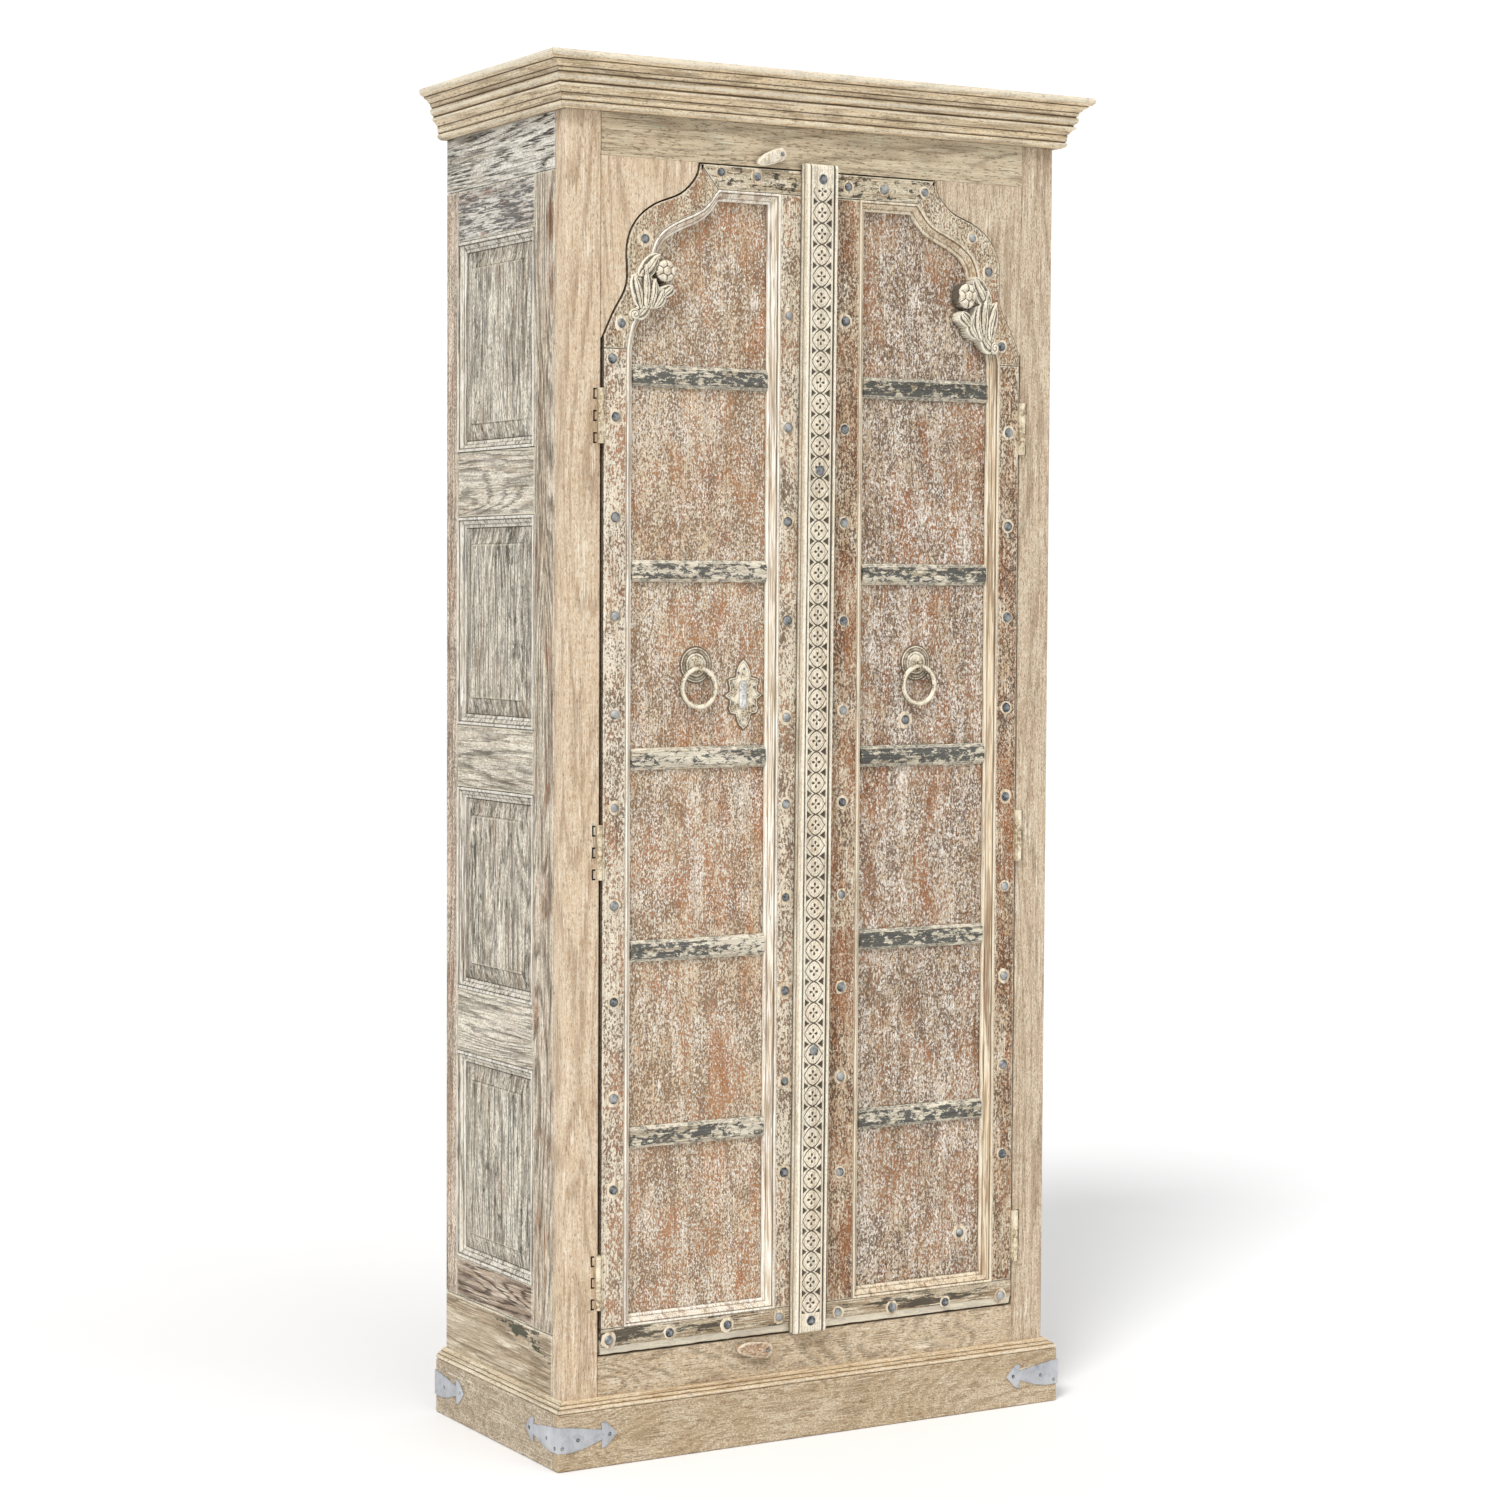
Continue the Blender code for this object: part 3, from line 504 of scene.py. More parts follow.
def aged_wood(name, look, seed):
    """Old limewashed wood: grain, marks, limed ridges, and dirt and painted shade darkening the hollows and
    gaps.
    """
    wood = Wood(name, look, seed)
    draw_grain(wood, look)
    for mark, draw in DRAWN.items():
        if getattr(look, mark):
            draw(wood, look)
    rub = wood.noise((230.0, 230.0, 230.0), wood.shift, 3, 0.6)
    ridge = wood.between(wood.plus(wood.wear_and_shade, wood.times(rub, 0.9)), 1.05, 1.55)
    wood.mark(ridge, look.edge, srgb(*look.lime_tone))
    # Dirt and painted shade: where the attribute is below 0, in grooves, gaps and at the feet of raised parts,
    # the colour turns to the dark tone.
    wood.mark(wood.between(wood.times(wood.wear_and_shade, -1.0), 0.1, 0.9), 0.88, srgb(*look.dirt_tone))
    wood.shader.inputs["Specular IOR Level"].default_value = 0.25
    return wood.finish(wood.plus(wood.times(wood.fibres, 0.18), 0.62), look.relief_m)


def aged_metal(name, base, light, dark, metallic, roughness, scale, edge):
    """Old metal: mottled base, worn bright edges, and dirt and painted shade darkening its hollows and feet.
    """
    shade = Shade(name)
    base, light, dark = srgb(*base), srgb(*light), srgb(*dark)
    mottle = shade.noise((scale, scale, scale), (1.3, 2.1, 0.4), 4, 0.65, 0.3)
    cloud = shade.noise((scale / 6, scale / 6, scale / 6), (4.3, 0.1, 2.4), 3, 0.6)
    shade.height = mottle
    shade.colour = shade.mix(shade.between(mottle, 0.38, 0.62), dark, base)
    shade.mark(shade.between(cloud, 0.42, 0.7), 1.0, light)
    shade.mark(shade.between(shade.plus(shade.wear_and_shade, mottle), 0.9, 1.5), edge, light)
    # Dirt and painted shade: where the attribute is below 0 the colour turns to the dark tone.
    shade.mark(shade.between(shade.times(shade.wear_and_shade, -1.0), 0.1, 1.0), 0.9, dark)
    shade.shader.inputs["Metallic"].default_value = metallic
    return shade.finish(shade.plus(shade.times(mottle, 0.3), roughness - 0.15), 0.0003)


# What a wood has where its row says nothing: strengths from 0 to 1, tones as display values,
# sizes as frequencies in cycles per metre across the grain.
PLAIN = dict(
    contrast=0.4, streak=0.5, broad=0.7, fibre=0.55, wave=0.6, edge=0.8, relief_m=0.0006,
    lime=0.3, lime_stretch=4.0, fleck=0.0, speck=0.0, patch=0.0, groove=0.2, groove_size=150.0,
    ring=0.0, ring_count=16.0, ring_size=9.0, ring_stretch=2.6, pore=0.0,
    paint=0.0, paint_size=95.0, paint_stretch=7.0, paint_gather=0.0,
    lime_tone=LIMEWASH, groove_tone=(104, 84, 62), speck_tone=(104, 76, 54),
    # The last tone darkens hollows and gaps, as dirt and painted shade.
    patch_tone=(160, 104, 64), paint_tone=(62, 62, 56), dirt_tone=(84, 66, 48),
)
SMOOTH = dict(contrast=0.38, streak=0.12, broad=0.35, fibre=0.4, pore=0.6, fleck=0.42, lime_stretch=9.0)
SPECKLED = dict(
    contrast=0.52, streak=0.24, broad=0.9, fibre=0.35, speck=0.85, fleck=0.8, lime_stretch=11.0,
    relief_m=0.0012,
)
SWIRLED = dict(ring=0.36, ring_count=34.0, ring_size=4.5, ring_stretch=12.0, groove=0.05)
ROUGH = dict(contrast=0.45, pore=0.3, relief_m=0.0018)
WAVY = dict(ring=0.85, ring_count=26.0, ring_size=8.0, groove=0.4)
CRISP = dict(contrast=0.5, ring=0.4, speck=0.25, groove=0.35)
STRIPED = dict(contrast=0.5, groove=0.6, groove_size=110.0)
PAINTED = dict(contrast=0.5, lime=0.5)


def wood_look(grain, tone, *kinds, **marks):
    """The look of a wood: its grain's axis, main colour, and marks on top of those of its kinds."""
    look = dict(PLAIN)
    for kind in kinds:
        look.update(kind)
    look.update(marks)
    return SimpleNamespace(grain=grain, tone=tone, **look)


WOODS = {
    "front_Z": wood_look("Z", (215, 190, 160), SMOOTH, lime=0.34, ring=0.4, groove=0.16,
                         groove_tone=(146, 112, 80)),
    "front_right": wood_look("Z", (199, 177, 150), SMOOTH, lime=0.32, ring=0.4, groove_tone=(136, 106, 78)),
    "top_rail": wood_look("X", (204, 184, 154), SMOOTH, contrast=0.45, lime=0.42, ring=0.35, groove=0.3,
                          lime_tone=(214, 210, 184)),
    "bottom_rail": wood_look("X", (194, 171, 140), SMOOTH, SWIRLED, lime=0.28, ring=0.42),
    "cornice": wood_look("X", (248, 225, 186), SMOOTH, CRISP, lime=0.35, groove_tone=(132, 106, 74)),
    "cornice_side": wood_look("Y", (238, 218, 184), SMOOTH, CRISP, lime=0.45, groove_tone=(128, 106, 78)),
    "plinth": wood_look("X", (184, 162, 131), SMOOTH, SWIRLED, lime=0.18, groove_tone=(150, 118, 80)),
    "plinth_side": wood_look("Y", (171, 153, 130), SMOOTH, SWIRLED, lime=0.25, groove_tone=(144, 120, 92)),
    "plinth_moulding": wood_look("X", (208, 180, 140), SMOOTH, lime=0.25, groove=0.4,
                                 groove_tone=(140, 98, 54)),
    "plinth_moulding_side": wood_look("Y", (206, 188, 156), SMOOTH, groove=0.4),
    "stile_left": wood_look("Z", (250, 234, 210), SPECKLED, lime=0.78, patch=0.5, edge=0.95,
                            patch_tone=(172, 112, 70), speck_tone=(112, 80, 58)),
    "stile_right": wood_look("Z", (198, 168, 134), SPECKLED, fleck=0.62, lime=0.48, patch=0.85, edge=0.9,
                             patch_tone=(156, 96, 52), speck_tone=(90, 62, 42)),
    "panel_left": wood_look("Z", (216, 190, 157), SPECKLED, lime=0.46, patch=0.5, edge=0.5,
                            patch_tone=(184, 122, 76), speck_tone=(142, 106, 76), lime_tone=(250, 244, 232)),
    "panel_right": wood_look("Z", (200, 176, 148), SPECKLED, lime=0.40, patch=0.5, edge=0.5,
                             patch_tone=(164, 106, 62), speck_tone=(112, 82, 60), lime_tone=(246, 240, 230)),
    "door_rail": wood_look("X", (192, 176, 149), PAINTED, paint=0.13, speck=0.4,
                           paint_tone=(66, 62, 52), paint_gather=0.7, paint_stretch=3.0),
    "door_head": wood_look("X", (214, 200, 172), PAINTED, paint=0.36, speck=0.4,
                           paint_tone=(40, 38, 36), paint_gather=0.15, paint_size=150.0, paint_stretch=9.0),
    "band": wood_look("Z", (214, 194, 162), SPECKLED, lime=0.6, fleck=0.5, patch=0.35, edge=0.9),
    "moulding": wood_look("Z", (236, 222, 200), STRIPED, lime=0.7,
                          lime_tone=(252, 249, 240), groove_tone=(158, 128, 108)),
    "moulding_right": wood_look("Z", (230, 211, 182), STRIPED, lime=0.6, groove_tone=(136, 100, 70)),
    "batten": wood_look("X", (214, 205, 186), PAINTED, lime=0.55, paint=0.56, paint_size=150.0,
                        paint_tone=(58, 62, 64), paint_gather=0.35, paint_stretch=10.0),
    "batten_right": wood_look("X", (208, 200, 180), PAINTED, paint=0.62, paint_size=130.0,
                              paint_tone=(54, 58, 60), paint_gather=0.35, paint_stretch=10.0),
    "button": wood_look("X", (176, 140, 106), SMOOTH, groove=0.4, edge=0.9),
    # The carving has a darker tone of dirt and painted shade for its cut hollows.
    "carving": wood_look("Z", (240, 229, 206), contrast=0.35, lime=0.65, speck=0.3,
                         lime_tone=(248, 242, 225), dirt_tone=(56, 46, 34)),
    "side_top": wood_look("Y", (248, 244, 232), ROUGH, WAVY, ring=0.95, ring_count=34.0, lime=0.65, speck=0.3,
                          groove_tone=(58, 52, 46), lime_tone=(240, 236, 224)),
    "side_dark": wood_look("Y", (226, 221, 212), ROUGH, ring=0.3, paint=0.5, patch=0.3, paint_size=210.0,
                           groove_tone=(52, 46, 44), paint_tone=(96, 93, 90), paint_stretch=2.5),
    "side_rail": wood_look("Y", (246, 238, 221), ROUGH, WAVY, ring=0.55, lime=0.55, speck=0.3,
                           groove_tone=(68, 60, 50)),
    "side_low": wood_look("Y", (192, 172, 152), ROUGH, WAVY, lime=0.4, groove_tone=(72, 50, 42)),
    "side_board": wood_look("Y", (196, 178, 152), ROUGH, lime=0.35, ring=0.4, paint=0.1,
                            paint_tone=(58, 66, 52), paint_gather=0.9, paint_size=70.0),
    "side_rear": wood_look("Z", (240, 221, 200), ROUGH, lime=0.45, ring=0.4, groove=0.3, speck=0.6,
                           groove_tone=(108, 78, 58)),
    "side_stile": wood_look("Z", (242, 228, 206), ROUGH, WAVY, ring=0.6, lime=0.5, patch=0.5, speck=0.3,
                            groove_tone=(88, 66, 50)),
    "side_panel": wood_look("Z", (252, 245, 228), ROUGH, lime=0.5, ring=0.5, ring_count=34.0, groove=0.55,
                            speck=0.4, paint=0.02, groove_tone=(70, 64, 52), paint_tone=(98, 94, 84),
                            paint_gather=0.4),
    "side_moulding": wood_look("Z", (236, 228, 212), ROUGH, lime=0.7, groove=0.65,
                               lime_tone=(250, 247, 238), groove_tone=(104, 92, 76)),
    "inner": wood_look("X", (168, 136, 100), contrast=0.35, lime=0.1),
    "inner_Z": wood_look("Z", (170, 140, 106), lime=0.15, ring=0.3, edge=0.3),
}
# Metals: name, base, light and dark colour, metallic, roughness, mottle frequency, strength of worn edges.
METALS = {
    "galvanised": ("galvanised_steel", (166, 170, 176), (204, 206, 210), (140, 143, 150), 0.5, 0.42, 90, 0.5),
    "stud": ("worn_stud_iron", (92, 99, 106), (176, 178, 176), (30, 32, 36), 0.2, 0.44, 260, 0.5),
    "iron": ("painted_iron", (218, 203, 174), (240, 231, 208), (88, 70, 52), 0.0, 0.55, 420, 0.85),
    "hinge": ("painted_hinge", (226, 212, 182), (240, 230, 204), (150, 126, 96), 0.1, 0.5, 200, 0.8),
    # Dark strips of painted shadow for the gaps round the hinge knuckles.
    "notch_shade": ("notch_shadow", (52, 44, 36), (120, 104, 84), (24, 20, 18), 0.0, 0.8, 300, 0.1),
    "plug": ("pale_filler", (222, 222, 222), (242, 242, 240), (168, 162, 150), 0.0, 0.7, 300, 0.4),
}
MATERIAL = {name: aged_wood(f"{name}_wood", look, seed) for seed, (name, look) in enumerate(WOODS.items(), 1)}
MATERIAL.update({name: aged_metal(*row) for name, row in METALS.items()})


# ---- Carcass -------------------------------------------------------------------------------

# The finishes of the CAD nodes that stay visible.
CAD_LOOKS = {
    "front_stile_left": "front_Z", "spandrel_left": "front_Z", "front_stile_right": "front_right",
    "spandrel_right": "front_right", "front_top_rail": "top_rail", "front_bottom_rail": "bottom_rail",
    "top_board": "cornice", "plinth_front_board": "plinth", "plinth_left_board": "plinth_side",
    "plinth_right_board": "plinth_side", "bottom_board": "inner",
    "shelf_1": "inner", "shelf_2": "inner", "shelf_3": "inner", "shelf_4": "inner",
}


def finish_cad_nodes():
    for name, obj in frame["nodes"].items():
        look = "hinge" if name.startswith("hinge_") else CAD_LOOKS.get(name)
        if look:
            obj.data.materials.clear()
            obj.data.materials.append(MATERIAL[look])


# Mouldings along the front and sides: distance in front of the body, height, and wear and painted shade.
CORNICE_FOOT_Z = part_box("cornice_front")[0].z
CORNICE_TOP_Z = HEIGHT - 0.0003
CORNICE_PROFILE = (
    (0.0003, CORNICE_FOOT_Z, -0.8), (0.0090, CORNICE_FOOT_Z, -0.2), (0.0118, 1.9818, 0.4),
    (0.0150, 1.9835, 0.8), (0.0166, 1.9862, 0.9), (0.0162, 1.9888, 0.3), (0.0138, 1.9902, -1.0),
    (0.0158, 1.9920, -0.4), (0.0161, 1.9960, 0.2), (0.0168, 2.0000, 0.1), (0.0158, 2.0014, -1.0),
    (0.0180, 2.0030, 0.0), (0.0200, 2.0060, 0.1), (0.0234, 2.0090, 0.4), (0.0260, 2.0105, 0.9),
    (0.0264, 2.0128, 0.9), (0.0236, 2.0144, -1.0), (0.0230, 2.0160, -1.0), (0.0252, 2.0182, 0.3),
    (0.0280, 2.0200, 0.9), (0.0292, 2.0232, 1.0), (0.0284, 2.0266, 0.5), (0.0256, 2.0286, -1.0),
    (0.0282, 2.0308, -0.3), (0.0296, 2.0338, 0.1), (0.0290, 2.0352, -1.0), (0.0318, 2.0368, 0.1),
    (0.0342, 2.0398, 0.1), (0.0386, 2.0424, 0.4), (0.0404, 2.0432, 0.8), (0.0388, 2.0446, -1.0),
    (0.0438, 2.0462, 0.4), (0.0468, 2.0488, 0.9), (0.0479, 2.0525, 1.0), (0.0470, 2.0556, 1.0),
    (0.0448, CORNICE_TOP_Z, 0.7), (0.0003, CORNICE_TOP_Z, 0.0),
)
PLINTH_MOULDING_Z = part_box("plinth_moulding_front")[0].z
PLINTH_MOULDING = (
    (0.0003, PLINTH_MOULDING_Z, -0.8), (0.0140, PLINTH_MOULDING_Z, -0.5), (0.0165, 0.0850, 0.5),
    (0.0176, 0.0868, 0.9), (0.0176, 0.0888, 0.9), (0.0164, 0.0905, 0.5), (0.0148, 0.0912, -0.9),
    (0.0140, 0.0920, -0.6), (0.0134, 0.0932, 0.6), (0.0118, 0.0944, 0.8), (0.0096, 0.0950, 0.3),
    (0.0086, 0.0953, -0.9), (0.0080, 0.0962, -0.5), (0.0072, 0.0980, 0.5), (0.0056, 0.0995, 0.8),
    (0.0036, 0.1003, 0.6), (0.0003, 0.1003, 0.0),
)
FRONT_STEPS = 48
SIDE_STEPS = 22


def run_moulding(name, profile, looks, uneven):
    """A profile along the front and both sides with mitred corners, a little uneven as if worked by hand."""

    def ring_at(point_at, share):
        ring = []
        for out, z, wear_and_shade in profile:
            here = Vector(point_at(share, 0.0, z))
            free = 0 if out < 0.001 or z > HEIGHT - 0.002 else uneven
            cut = free * (0.5 + 0.5 * noise.noise(here * 22))
            lower = free * 0.6 * abs(noise.noise(here * 9 + Vector((5, 5, 5))))
            ring.append((*point_at(share, out - cut, z - lower), wear_and_shade))
        return ring

    def add(part, look, point_at, steps):
        bm = skin([ring_at(point_at, k / steps) for k in range(steps + 1)])
        piece(f"{name}_{part}_run", bm, look, "carcass", [f"{name}_{part}"], 50)

    def front(share, out, z):
        return ((2 * share - 1) * (BODY_X + out), FRONT_Y - out, z)

    add("front", looks[0], front, FRONT_STEPS)
    for side, sign in SIDES.items():

        def beside(share, out, z, sign=sign):
            start = FRONT_Y - out + 2 * SEAM
            return (sign * (BODY_X + out), start + (BACK_Y - start) * share, z)

        add(side, looks[1], beside, SIDE_STEPS)


def side_walls():
    """Boards, rails, mouldings and raised panels of both sides."""
    front, back = SIDE_OPENING_Y
    (foot_1, head_1), (foot_2, head_2), (foot_3, head_3), (foot_4, head_4) = SIDE_OPENINGS_Z
    # Lowest and highest y and z, distance below the face, and wood.
    boards = {
        "top_board": (FRAME_BACK_Y, BACK_Y, SIDE_HEAD_Z, BODY_TOP, 0.0, "side_top"),
        "front_stile": (FRAME_BACK_Y, front, SIDE_FOOT_Z, SIDE_HEAD_Z, 0.0, "side_stile"),
        "rear_stile": (back, BACK_Y, SIDE_FOOT_Z, SIDE_HEAD_Z, 0.0, "side_rear"),
        "dark_rail": (front, back, head_1, SIDE_HEAD_Z, 0.0006, "side_dark"),
        "rail_1": (front, back, head_2, foot_1, 0.0008, "side_rail"),
        "rail_2": (front, back, head_3, foot_2, 0.0003, "side_rail"),
        "rail_3": (front, back, head_4, foot_3, 0.0008, "side_rail"),
        "low_rail": (front, back, SIDE_FOOT_Z, foot_4, 0.0005, "side_low"),
        "low_board": (FRAME_BACK_Y, BACK_Y, 0.0, SIDE_FOOT_Z, 0.0, "side_board"),
    }
    for side, sign in SIDES.items():
        for part, (y0, y1, z0, z1, sink, look) in boards.items():
            x = sorted((sign * SIDE_INNER_X, sign * (BODY_X - sink)))
            bm = board((x[0], y0 + SEAM, z0 + SEAM), (x[1], y1 - SEAM, z1 - SEAM), 0.0016, 0.010)
            nodes = [f"side_frame_{side}"] if part == "top_board" else ()
            piece(f"side_{side}_{part}", bm, look, "carcass", nodes)
        for number, opening in enumerate(SIDE_OPENINGS_Z, 1):
            side_moulding(side, number, opening)
            side_panel(side, number, opening)


def side_ring(sign, opening, inset, below, wear_and_shade, steps=1, seed=0):
    """Points round a side opening, inset from its edge; with several steps an edge, they dip unevenly."""
    (y0, y1), (z0, z1) = SIDE_OPENING_Y, opening
    corners = rectangle(y0 + inset, y1 - inset, z0 + inset, z1 - inset)
    ring = []
    for (ya, za), (yb, zb) in zip(corners, corners[1:] + corners[:1]):
        for k in range(steps):
            y = ya + (yb - ya) * k / steps
            z = za + (zb - za) * k / steps
            dip = abs(wobble((y, z, inset), 0.03, 0.0005, seed)) if steps > 1 else 0.0
            ring.append((sign * (BODY_X - below - dip), y, z, wear_and_shade))
    return ring


# Sections round a side opening: inset from its edge, distance below the face (negative is proud), wear and
# painted shade.
SIDE_MOULDING_PROFILE = (
    (SEAM, 0.0060, -1.0), (SEAM, -0.0010, 0.8), (0.0022, -0.0016, 1.0), (0.0040, -0.0010, 0.7),
    (0.0046, 0.0008, -1.0), (0.0060, 0.0014, -0.4), (0.0085, 0.0024, 0.7), (0.0105, 0.0044, 0.6),
    (0.0112, 0.0060, -0.9), (0.0124, 0.0062, 0.2), (0.0148, 0.0066, 0.8), (SIDE_MOULDING, 0.0076, 0.2),
    (SIDE_MOULDING, 0.0180, -1.0), (SEAM, 0.0180, -1.0),
)
SIDE_PANEL_PROFILE = (
    (SIDE_MOULDING + SEAM, 0.0194, -1.0), (SIDE_MOULDING + SEAM, 0.0080, -1.0), (0.0180, 0.0078, -0.4),
    (0.0400, 0.0040, -0.1), (0.0412, 0.0038, -0.6), (0.0420, 0.0024, 0.6), (0.0434, 0.0018, 1.0),
    (0.0480, 0.0019, 0.0),
)


def side_moulding(side, number, opening):
    sign = SIDES[side]
    rings = [side_ring(sign, opening, *point, 12, number + sign) for point in SIDE_MOULDING_PROFILE]
    name = f"side_{side}_moulding_{number}"
    piece(name, skin(rings, closed=True), "side_moulding", "carcass")


def side_panel(side, number, opening):
    """A raised panel: a flat edge, a sloped border with a worn arris, and a flat field."""
    rings = [side_ring(SIDES[side], opening, *point) for point in SIDE_PANEL_PROFILE]
    nodes = [f"side_panel_{side}_{number}"]
    piece(f"side_{side}_panel_{number}", skin(rings), "side_panel", "carcass", nodes, 20)


BACK_PLANKS = 6
PLANK_SEAM = 0.0016
PLANK_STEP = 0.0004
TONGUE_REACH = 0.004
TONGUE_HALF = 0.002


def back_planks():
    """The back: upright planks in place of one plain board, with tongues across their seams."""
    low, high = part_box("back_panel")
    width = (high.x - low.x) / BACK_PLANKS
    middle = (low.y + high.y) / 2
    planks = []
    tongues = []
    for k in range(BACK_PLANKS):
        left = low.x + width * k + PLANK_SEAM / 2
        right = left + width - PLANK_SEAM
        face_y = high.y - PLANK_STEP * (k % 3)
        planks.append(board((left, low.y, low.z), (right, face_y, high.z), 0.0018, 0.010))
        if k < BACK_PLANKS - 1:
            tongue_low = (right - TONGUE_REACH, middle - TONGUE_HALF, low.z + 0.001)
            tongue_high = (right + PLANK_SEAM + TONGUE_REACH, middle + TONGUE_HALF, high.z - 0.001)
            tongues.append(board(tongue_low, tongue_high, 0.0003, 0.002))
    piece("back_planks", merged(planks), "inner_Z", "carcass", ["back_panel"])
    piece("back_tongues", merged(tongues), "inner_Z", "carcass")


# ---- Ironwork on the plinth ----------------------------------------------------------------

STRAP_OUT = 0.0003
STRAP_THICK = 0.0014
# Outline of a strap's arm: distance from the corner and height.
STRAP_OUTLINE = (
    (0.000, 0.0670), (0.020, 0.0645), (0.040, 0.0615), (0.060, 0.0580), (0.0735, 0.0560),
    (0.0732, 0.0610), (0.0722, 0.0662), (0.0795, 0.0664), (0.0870, 0.0610), (0.0935, 0.0548),
    (0.0992, 0.0482), (0.0935, 0.0420), (0.0870, 0.0352), (0.0800, 0.0292), (0.0732, 0.0290),
    (0.0742, 0.0345), (0.0735, 0.0410), (0.060, 0.0362), (0.040, 0.0302), (0.022, 0.0272), (0.000, 0.0280),
)
# Layers of a strap: distance in front of the plinth, inset and wear.
STRAP_LAYERS = ((0.0, 0.0, 0.0), (STRAP_THICK - 0.0005, 0.0, 0.6), (STRAP_THICK, 0.0007, 0.9))
STRAP_NAILS = ((0.0330, 0.0450), (0.0865, 0.0482), (0.0070, 0.0350))
STRAP_NAIL_SIZE = (0.0032, 0.0012)


def strap_arm(place, corner_u):
    """One arm of a strap; its edge at the corner is moved to corner_u."""
    rings = []
    for out, inset, wear_and_shade in STRAP_LAYERS:
        shape = offset_outline(STRAP_OUTLINE, inset)
        shape[0].x = shape[-1].x = 0.0
        rings.append([(*place(u if u > 0.0005 else corner_u, v, out), wear_and_shade) for u, v in shape])
    return skin(rings)


def corner_straps():
    plinth_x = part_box("plinth_front_board")[1].x + STRAP_OUT
    plinth_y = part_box("plinth_front_board")[0].y - STRAP_OUT
    for side, sign in SIDES.items():

        def on_front(u, v, out, sign=sign):
            return (sign * (plinth_x - u), plinth_y - out, v)

        def on_side(u, v, out, sign=sign):
            return (sign * (plinth_x + out), plinth_y + u, v)

        def behind(u, v, out, sign=sign):
            return (sign * (plinth_x + out), BACK_Y - u, v)

        # The front arm reaches round the corner, over the end of the side arm.
        arms = {"front": ((on_front, -STRAP_THICK), (on_side, 0.0)), "back": ((behind, 0.0),)}
        for corner, places in arms.items():
            nails = bmesh.new()
            for place, _ in places:

                def lifted(u, v, out, place=place):
                    return place(u, v, out + STRAP_THICK - 0.0002)

                for seed, (u, v) in enumerate(STRAP_NAILS):
                    dome(nails, lifted, u, v, *STRAP_NAIL_SIZE, seed + sign, 12, 3)
            body = merged([strap_arm(*arm) for arm in places])
            nodes = [f"corner_strap_{corner}_{side}"]
            piece(f"strap_{corner}_{side}", body, "galvanised", "carcass", nodes)
            piece(f"strap_nails_{corner}_{side}", nails, "stud", "carcass")


# ---- Doors ---------------------------------------------------------------------------------


def front_place(u, v, out):
    return (u, DOOR_FACE_Y - out, v)


def panel_place(u, v, out):
    return (u, PANEL_Y - out, v)


def arch_edge():
    """The outer edge of a door's arched corner, from the flat head down to the hinge edge."""
    head = [Vector((0.0, ARCH_HEAD_Z)), *smooth_curve(ARCH, 8), Vector((ARCH[-1][0], 0.0))]
    arch = []
    for before, here, after in zip(head, head[1:], head[2:]):
        direction = (after - before).normalized()
        arch.append(here + Vector((direction.y, -direction.x)) * ARCH_GAP)
    return [point for point in arch if point.x < DOOR_EDGE_X and point.y < DOOR_TOP_Z]


def opening_outline(side):
    """The edge of a door's panel opening at the face."""
    meeting = OPENING_MEETING_X[side]
    points = [(meeting, OPENING_BOTTOM_Z), (meeting, OPENING_TOP_Z), *smooth_curve(BAND_EDGE, 3)]
    points.append((OPENING_HINGE_X, OPENING_BOTTOM_Z))
    return mirrored(points, SIDES[side])


def door_boards(side):
    """Stiles, rails and arched band, each a board of its own with a hairline seam."""
    sign = SIDES[side]
    meeting = MEETING_X[side] * sign
    foot = OPENING_BOTTOM_Z + SEAM
    arch = arch_edge()
    band = [(arch[0].x, DOOR_TOP_Z - SEAM), *arch]
    band += [(DOOR_EDGE_X, BAND_FOOT_Z + 0.004), (DOOR_EDGE_X, BAND_FOOT_Z + SEAM)]
    band += reversed(smooth_curve(BAND_EDGE, 5))
    top_rail = [
        (meeting, OPENING_TOP_Z + SEAM), (BAND_EDGE[0][0] - SEAM, OPENING_TOP_Z + SEAM),
        (arch[0].x - 0.0010, DOOR_TOP_Z), (meeting, DOOR_TOP_Z),
    ]
    hinge_stile = rectangle(OPENING_HINGE_X, DOOR_EDGE_X, foot, BAND_FOOT_Z - SEAM)
    meeting_stile = rectangle(meeting, OPENING_MEETING_X[side], foot, OPENING_TOP_Z - SEAM)
    shapes = {
        "hinge_stile": (hinge_stile, f"stile_{side}", [f"door_{side}_frame"]),
        "meeting_stile": (meeting_stile, f"stile_{side}", ()),
        "top_rail": (top_rail, "door_head", ()),
        "arched_band": (band, "band", ()),
    }
    for part, (outline, look, nodes) in shapes.items():
        bm = plank(mirrored(outline, sign), DOOR_FACE_Y, DOOR_BACK_Y)
        piece(f"door_{side}_{part}", bm, look, f"door_{side}", nodes)


